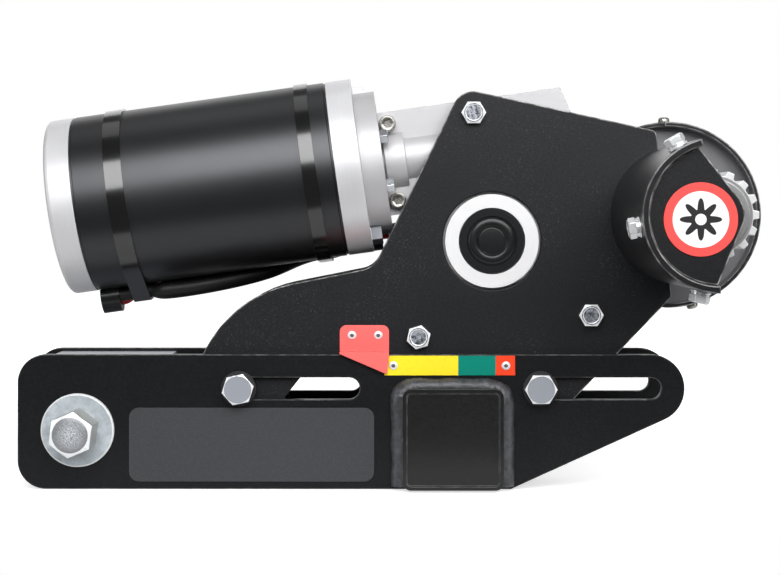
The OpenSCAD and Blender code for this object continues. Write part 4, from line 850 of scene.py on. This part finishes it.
class MOVER_OT_bolts(MoverStep):
    """Cheek bolts, guide bolts, guide bushes and shield bolts"""

    bl_idname = "mover.bolts"
    bl_label = "Bolts"

    def execute(self, context):
        s = self.sizes(context)
        bm = fresh()
        for x, z, turn in ((12.7, 194.8, 0), (-20.4, 59.9, 17), (83.2, 73.1, 0)):
            for place in both_sides(x, 25, z):
                hex_bolt(bm, place, 13, 5.3, turn, (4, 17))
        soften(bm, s.fine_edge, HEAD_LIMIT, 2)
        bolts = new_piece("cheek_bolt_set", bm, "zinc", "drive", ["cheek_bolts"])
        face_finish(bolts, "forged", facing)
        face_finish(bolts, "bright_edge", sloping)
        bm = fresh()
        for x, turn in ((-128.2, 12), (52.5, 0)):
            for place in both_sides(x, 32.5, 29.3):
                hex_bolt(bm, place, 17, 6.4, turn, (5, 24.5), 0.05, share=0.48)
        soften(bm, s.fine_edge, HEAD_LIMIT, 2)
        bolts = new_piece("guide_bolt_set", bm, "zinc", "drive", ["guide_bolts"])
        face_finish(bolts, "zinc_face", facing)
        face_finish(bolts, "bright_edge", sloping)
        softened("guide_bush_set", "guide_bushes", s.fine_edge, "bush", "drive")
        bm = fresh()
        for angle in (120, 189, 258):
            hex_bolt(bm, radial(angle, -158, 43.7), 10, 4.2, 0, (3, 22))
            for reach, wide, thick in ((41.3, 5.6, 1.0), (42.3, 5.0, 1.4)):
                ring = [(3.2, 0), (wide, 0), (wide, thick), (3.2, thick)]
                lathe(bm, radial(angle, -158, reach), ring, 64)
        soften(bm, s.fine_edge, HEAD_LIMIT, 2)
        new_piece("shield_bolt_set", bm, "bright_bolt", "drive", ["shield_bolts"])
        return {"FINISHED"}


class MOVER_OT_engagement(MoverStep):
    """Engagement shaft, washer and spindle"""

    bl_idname = "mover.engagement"
    bl_label = "Engagement"

    def execute(self, context):
        s = self.sizes(context)
        x, z = ENGAGEMENT
        bm = fresh()
        hex_bolt(bm, outward(x, -33.5, z), 24, 25, 23, (8, 65), dome=0.9)
        loft(bm, outward(x, -23, z), [(8.5, -5), (12, -5), (12, 0), (8.5, 0)])
        hex_bolt(bm, outward(x, 30.5, z, False), 13, 16, 0, (6, 3))
        soften(bm, s.fine_edge * 2, HEAD_LIMIT, 2)
        bolt = new_piece("engagement_bolt", bm, "zinc", "engagement", ["engagement_shaft"])
        face_finish(bolt, "zinc_side", lambda middle, normal: abs(normal.y) < 0.3)
        face_finish(bolt, "bright_edge", sloping)
        face_finish(bolt, "forged_end", lambda middle, normal: normal.y < -0.93)
        bm = fresh()
        lathe(bm, outward(x, -30.5, z), [(8.0, 0), (22, 0), (22, 2.1), (21.1, 3), (8.0, 3)])
        soften(bm, s.fine_edge, segments=2)
        washer = new_piece("engagement_ring", bm, "bright_edge", "engagement", ["engagement_washer"])
        face_finish(washer, "washer", facing)
        bm = fresh()
        axis = Matrix.Translation((0, 0, z * MM)) @ Matrix.Rotation(radians(90), 4, "Y")
        outer = 8
        inner = outer - s.thread / MM
        loft(bm, axis, [(6, -214.2), (6, -190.7), (10, -190.7), (10, -185.7), (inner, -185.7),
                        (inner, -47.5), (inner - 0.5, -47)], 48)
        soften(bm, s.fine_edge, segments=2)
        # Two starts, each with a rise of one lead a turn
        rise = 8
        turns = 16
        steps = 30
        for start in (-184.5, -180.5):
            ridge = [(inner - 0.3, start), (outer, start + 1.0), (outer, start + 2.0),
                     (inner - 0.3, start + 3.0)]
            known = set(bm.verts)
            verts = [bm.verts.new((0, reach * MM, along * MM)) for reach, along in ridge]
            face = bm.faces.new(verts)
            bmesh.ops.spin(bm, geom=[face] + verts + list(face.edges), cent=(0, 0, 0), axis=(0, 0, 1),
                           dvec=(0, 0, rise * MM / steps), angle=2 * pi * turns, steps=steps * turns)
            bmesh.ops.transform(bm, matrix=axis, verts=[v for v in bm.verts if v not in known])
        new_piece("spindle_screw", bm, "gear_steel", "spindle", ["spindle"])
        return {"FINISHED"}


class MOVER_OT_motor(MoverStep):
    """Motor can, end cap, front ring, straps, gland and connectors"""

    bl_idname = "mover.motor"
    bl_label = "Motor"

    def in_lug_shade(self, middle):
        """Whether a face of the front ring lies on its lower lug, beside the flange, which takes painted
        shade.
        """
        along, aside, up = MOTOR.inverted() @ (middle * MM) / MM
        return along > -71.2 and up < 0

    def execute(self, context):
        s = self.sizes(context)
        bm = fresh()
        bore = 49.6
        lip = 52.8
        lathe(bm, MOTOR_AXIS, [(bore, CAN_LEFT), (lip, CAN_LEFT), (lip, CAN_LEFT + 1.2),
                               (MOTOR_R, CAN_LEFT + 1.6), (MOTOR_R, CAN_RIGHT - 1.6),
                               (lip, CAN_RIGHT - 1.2), (lip, CAN_RIGHT), (bore, CAN_RIGHT)], 160)
        new_piece("can_shell", bm, "can", "drive", ["motor_can"])
        softened("end_cap_casting", "motor_end_cap", s.turned_edge, "silver", "drive")
        ring = softened("front_ring_casting", "motor_front_ring", s.turned_edge * 1.5, "silver", "drive")
        # The lower lug takes a dark finish as painted shade beneath the motor
        face_finish(ring, "dark_steel", lambda middle, normal: self.in_lug_shade(middle))
        softened("strap_pair", "motor_straps", s.turned_edge, "strap", "drive")
        bm = soften(merged("lead_gland"), s.fine_edge, segments=2)
        sweep(bm, places_along([lead_point(along, 4, 2.6) for along in (9, 12, 15, 18, 20.3)]), s.lead, 24)
        new_piece("gland_block", bm, "rubber", "drive", ["lead_gland"])
        softened("connector_pair", "lead_connectors", s.turned_edge, "plastic", "drive")
        return {"FINISHED"}


class MOVER_OT_leads(MoverStep):
    """The two motor leads"""

    bl_idname = "mover.leads"
    bl_label = "Leads"

    def sleeved(self, place):
        """The black lead is thicker in its sleeve, between the straps."""
        spot = MOTOR.inverted() @ place.translation
        along = spot.x / MM - CAN_LEFT
        share = max(0, min(1, (along - 32) / 7)) * max(0, min(1, (124 - along) / 42))
        share *= share * (3 - 2 * share)
        inward = MOTOR.to_3x3() @ Vector((0, -spot.y, -spot.z)).normalized() * 1.7 * MM * share
        thick = 1 + 0.44 * share
        return Matrix.Translation(inward) @ place @ Matrix.Diagonal((thick, thick, 1, 1))

    def execute(self, context):
        s = self.sizes(context)
        red = [(8, 8, 7.7), (13.5, 8, 7.7), (16.5, 8.6, 6.6), (20.2, 9, 4.6), (31.8, 9, 4.6),
               (42.3, 10.7, 5.5), (72.3, 15.4, 6.7), (102.3, 25, 6.5), (124, 36.5, 5.4), (135.4, 38.5, 4.6),
               (145.6, 38.5, 4.6), (153, 43.4, 6.2), (181.1, 43.4, 6.2)]
        black = [(8, 0, 4.7), (14, 0, 4.7), (20.3, 0, 4.6), (31.8, 0, 4.6), (42.3, 0.5, 7.2),
                 (72.3, 5.2, 7.2), (102.3, 15.5, 6.3), (124, 27.6, 5.4), (135.4, 29.5, 4.6),
                 (145.6, 29.5, 4.6), (152, 33, 5.2), (158.4, 33, 5.2)]
        for name, path, node, slot in (("red_motor_lead", red, "red_lead", "red_plastic"),
                                       ("black_motor_lead", black, "black_lead", "black_plastic")):
            bm = fresh()
            places = places_along(curve_through([lead_point(*point) for point in path], 8))
            if node == "black_lead":
                places = [self.sleeved(place) for place in places]
            sweep(bm, places, s.lead, 24)
            new_piece(name, bm, node, "drive", [node])
        return {"FINISHED"}


class MOVER_OT_housing(MoverStep):
    """Cast housing, adapter flange, their screws, the faced boss and the rubber cap"""

    bl_idname = "mover.housing"
    bl_label = "Housing"

    def outside(self, edge):
        """Whether an edge's middle lies off the parting plane and away from the worm's bore."""
        along, aside, up = MOTOR.inverted() @ ((edge.verts[0].co + edge.verts[1].co) / 2) / MM
        return abs(aside) > 1 and hypot(aside, up) > 16.5

    def execute(self, context):
        s = self.sizes(context)
        bm = soften(merged("housing_front"), s.cast_edge, chosen=self.outside)
        # The raised ring on the neck
        lathe(bm, MOTOR_AXIS, [(15, -57.0), (20.2, -57.0), (20.6, -56.6), (20.6, -44.5), (20.2, -44.1),
                               (15, -44.1)])
        casting = new_piece("housing_casting_front", bm, "cast", "drive", ["housing_front"])
        face_finish(casting, "faced", lambda middle, normal: middle.y < -24.6)
        softened("housing_casting_rear", "housing_rear", s.cast_edge, "cast", "drive",
                 self.outside)
        softened("flange_casting", "adapter_flange", s.cast_edge, "cast", "drive")
        bm = fresh()
        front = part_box("bearing_cap")[0][1] / MM
        loft(bm, outward(LAYSHAFT[0], front, LAYSHAFT[1]), [
            (19.4, -3.4), (19.4, -1.0), (19.0, -0.6), (15.2, -0.6), (14.6, -1.3), (14.3, -1.3),
            (13.6, -0.5), (12.4, -0.1), (11.0, 0), (9.6, -0.1), (8.9, -0.5), (8.5, -1.2), (8.1, -1.4),
            (7.6, -1.1), (1, -1.1)], 96)
        new_piece("rubber_cap", bm, "rubber", "drive", ["bearing_cap"])
        bm = fresh()
        for u, w in ((-52.5, 22.5), (-52.5, -24.5), (22, 20), (47.1, -8)):
            socket_screw(bm, MOTOR @ outward(u, -12, w), 5, 6, (3, 23.5), 5)
        soften(bm, s.fine_edge, 35, 2)
        new_piece("housing_screw_set", bm, "screw", "drive", ["housing_screws"])
        bm = fresh()
        for turn in (32, 148, 212, 328):
            spot = Matrix.Rotation(radians(turn), 4, "X") @ Matrix.Translation((-58.1 * MM, 28 * MM, 0))
            hex_bolt(bm, MOTOR @ spot @ Matrix.Rotation(radians(90), 4, "Y"), 8, 5, 0, (2.5, 13), 0.3)
        soften(bm, s.fine_edge, HEAD_LIMIT, 2)
        new_piece("flange_screw_set", bm, "zinc", "drive", ["flange_screws"])
        return {"FINISHED"}


class MOVER_OT_roller(MoverStep):
    """Toothed roller, shield and end plate"""

    bl_idname = "mover.roller"
    bl_label = "Roller"

    def execute(self, context):
        s = self.sizes(context)
        softened("roller_wheel", "toothed_roller", s.turned_edge, "roller", "roller")
        shell = softened("shield_shell", "roller_shield", s.shield_edge, "shaded_shield_coat", "drive",
                         on_rim)
        # The shield's faces that look to the front or the rear take the darker coat as painted shade
        face_finish(shell, "shaded_plate_coat", facing)
        softened("shield_plate", "shield_end_plate", s.shield_edge, "shaded_plate_coat", "drive",
                 on_rim)
        return {"FINISHED"}


class MOVER_OT_case(MoverStep):
    """Gear case, its dished cover and its screws"""

    bl_idname = "mover.case"
    bl_label = "Gear case"

    def inside(self, middle, normal):
        """Picks the dish's floor and the wall that looks to its middle, which take a painted sheen."""
        across = Vector((ROLLER[0] - middle.x, 0, ROLLER[1] - middle.z))
        if normal.y < -0.9:
            return middle.y > 25.5 and across.length < 56
        return across.length < 57.5 and normal.dot(across.normalized()) > 0.5

    def execute(self, context):
        s = self.sizes(context)
        softened("case_shell", "gear_case", s.case_edge, "coat", "drive")
        dish = softened("case_dish", "case_cover", s.case_edge, "coat", "drive", on_rim)
        # The same black coat inside the dish, made lighter as painted sheen
        face_finish(dish, "dish_sheen_coat", self.inside)
        bm = fresh()
        for angle in (91.5, 286):
            pan_head(bm, radial(angle, 31, 58.3), 3.6, 3.2)
        soften(bm, s.fine_edge, 35, 2)
        new_piece("case_screw_set", bm, "screw", "drive", ["case_screws"])
        return {"FINISHED"}


class MOVER_OT_inside(MoverStep):
    """Finishes of the pieces inside that keep their CAD shape"""

    bl_idname = "mover.inside"
    bl_label = "Inside"

    def execute(self, context):
        dress("bronze", "engagement_bushes", "spindle_nut", "worm_wheel")
        dress("gear_steel", "engagement_bevel", "spindle_bevel", "rotor_shaft", "layshaft_pinion",
              "idler_gear", "roller_shaft", "roller_gear", "layshaft_bearings", "shaft_bearings",
              "roller_bearings")
        dress("dark_steel", "spindle_block", "armature")
        dress("zinc", "cheek_spacers")
        dress("ferrite", "motor_magnets")
        dress("carbon", "brushes")
        dress("copper", "commutator")
        return {"FINISHED"}


class MOVER_OT_stage(MoverStep):
    """Pale floor, soft studio light and camera"""

    bl_idname = "mover.stage"
    bl_label = "Stage"

    def softbox(self, name, spot, aim, wide, high, watts):
        """A rectangular soft light that looks at a point."""
        light = bpy.data.lights.new(name, "AREA")
        light.shape = "RECTANGLE"
        light.size = wide
        light.size_y = high
        light.energy = watts
        lamp = bpy.data.objects.new(name, light)
        lamp.location = spot
        lamp.rotation_euler = (Vector(aim) - Vector(spot)).to_track_quat("-Z", "Y").to_euler()
        lamp.visible_camera = False
        bpy.context.scene.collection.objects.link(lamp)

    def execute(self, context):
        scene = context.scene
        bm = bmesh.new()
        bmesh.ops.create_grid(bm, x_segments=1, y_segments=1, size=3,
                              matrix=Matrix.Translation((0, 2.8, -31.4 * MM)))
        mesh = bpy.data.meshes.new("floor")
        bm.to_mesh(mesh)
        bm.free()
        floor = bpy.data.objects.new("floor", mesh)
        scene.collection.objects.link(floor)
        f = Finish("floor")
        seen = f.add("ShaderNodeLightPath", output="Is Camera Ray")
        x, y, z = f.axes()
        far = f.span((x * x + y * y) ** 0.5, 0.3, 0.7)
        glow = f.mix(far, (0.66, 0.66, 0.66), (1, 1, 1))
        mesh.materials.append(f.shows(Base_Color=scene.mover_colours.floor, Roughness=0.9,
                                      Specular_IOR_Level=0.0, Emission_Color=f.mix(seen, (0, 0, 0), glow),
                                      Emission_Strength=1.0))

        world = bpy.data.worlds.new("studio")
        scene.world = world
        world.use_nodes = True
        tree = world.node_tree
        back = tree.nodes["Background"]
        back.inputs["Color"].default_value = (1, 1, 1, 1)
        path = tree.nodes.new("ShaderNodeLightPath")
        level = tree.nodes.new("ShaderNodeMapRange")
        level.inputs["To Min"].default_value = 0.12
        level.inputs["To Max"].default_value = 1.0
        tree.links.new(path.outputs["Is Camera Ray"], level.inputs["Value"])
        tree.links.new(level.outputs[0], back.inputs["Strength"])

        aim = (-0.03, 0, 0.09)
        self.softbox("key softbox", (0.13, -1.05, 0.78), aim, 1.5, 0.85, 24)
        self.softbox("top softbox", (0, 0.2, 1.6), aim, 1.6, 0.8, 2.5)
        self.softbox("left softbox", (-1.5, -0.6, 0.5), aim, 0.5, 1.1, 4)
        self.softbox("right softbox", (1.5, -0.6, 0.5), aim, 0.5, 1.1, 5)
        self.softbox("rear panel", (0, 1.7, 0.8), aim, 3.0, 1.5, 16)

        lens = bpy.data.cameras.new("camera")
        lens.sensor_width = 36
        lens.lens = 86.5
        lens.shift_y = -0.0916
        lens.clip_end = 20
        camera = bpy.data.objects.new("camera", lens)
        camera.location = (-0.03314, -1.15342, 0.13387)
        camera.rotation_euler = (radians(90 - 0.062), 0, radians(0.224))
        scene.collection.objects.link(camera)
        scene.camera = camera
        scene.view_settings.view_transform = "Standard"
        return {"FINISHED"}


STEPS = (MOVER_OT_finishes, MOVER_OT_base, MOVER_OT_welds, MOVER_OT_markings, MOVER_OT_cheeks,
         MOVER_OT_bolts, MOVER_OT_engagement, MOVER_OT_motor, MOVER_OT_leads, MOVER_OT_housing,
         MOVER_OT_roller, MOVER_OT_case, MOVER_OT_inside, MOVER_OT_stage)


class MOVER_PT_steps(bpy.types.Panel):
    """The steps in the order in which they run"""

    bl_idname = "MOVER_PT_steps"
    bl_label = "Caravan motor mover"
    bl_space_type = "VIEW_3D"
    bl_region_type = "UI"
    bl_category = "Mover"

    def draw(self, context):
        for step in STEPS:
            self.layout.operator(step.bl_idname)


CLASSES = (MoverSizes, MoverColours, *STEPS, MOVER_PT_steps)


def register():
    for each in CLASSES:
        bpy.utils.register_class(each)
    bpy.types.Scene.mover_sizes = PointerProperty(type=MoverSizes)
    bpy.types.Scene.mover_colours = PointerProperty(type=MoverColours)


def unregister():
    del bpy.types.Scene.mover_colours
    del bpy.types.Scene.mover_sizes
    for each in reversed(CLASSES):
        bpy.utils.unregister_class(each)


def main():
    register()
    bpy.ops.mover.finishes()
    bpy.ops.mover.base()
    bpy.ops.mover.welds()
    bpy.ops.mover.markings()
    bpy.ops.mover.cheeks()
    bpy.ops.mover.bolts()
    bpy.ops.mover.engagement()
    bpy.ops.mover.motor()
    bpy.ops.mover.leads()
    bpy.ops.mover.housing()
    bpy.ops.mover.roller()
    bpy.ops.mover.case()
    bpy.ops.mover.inside()
    bpy.ops.mover.stage()


if __name__ == "__main__":
    main()
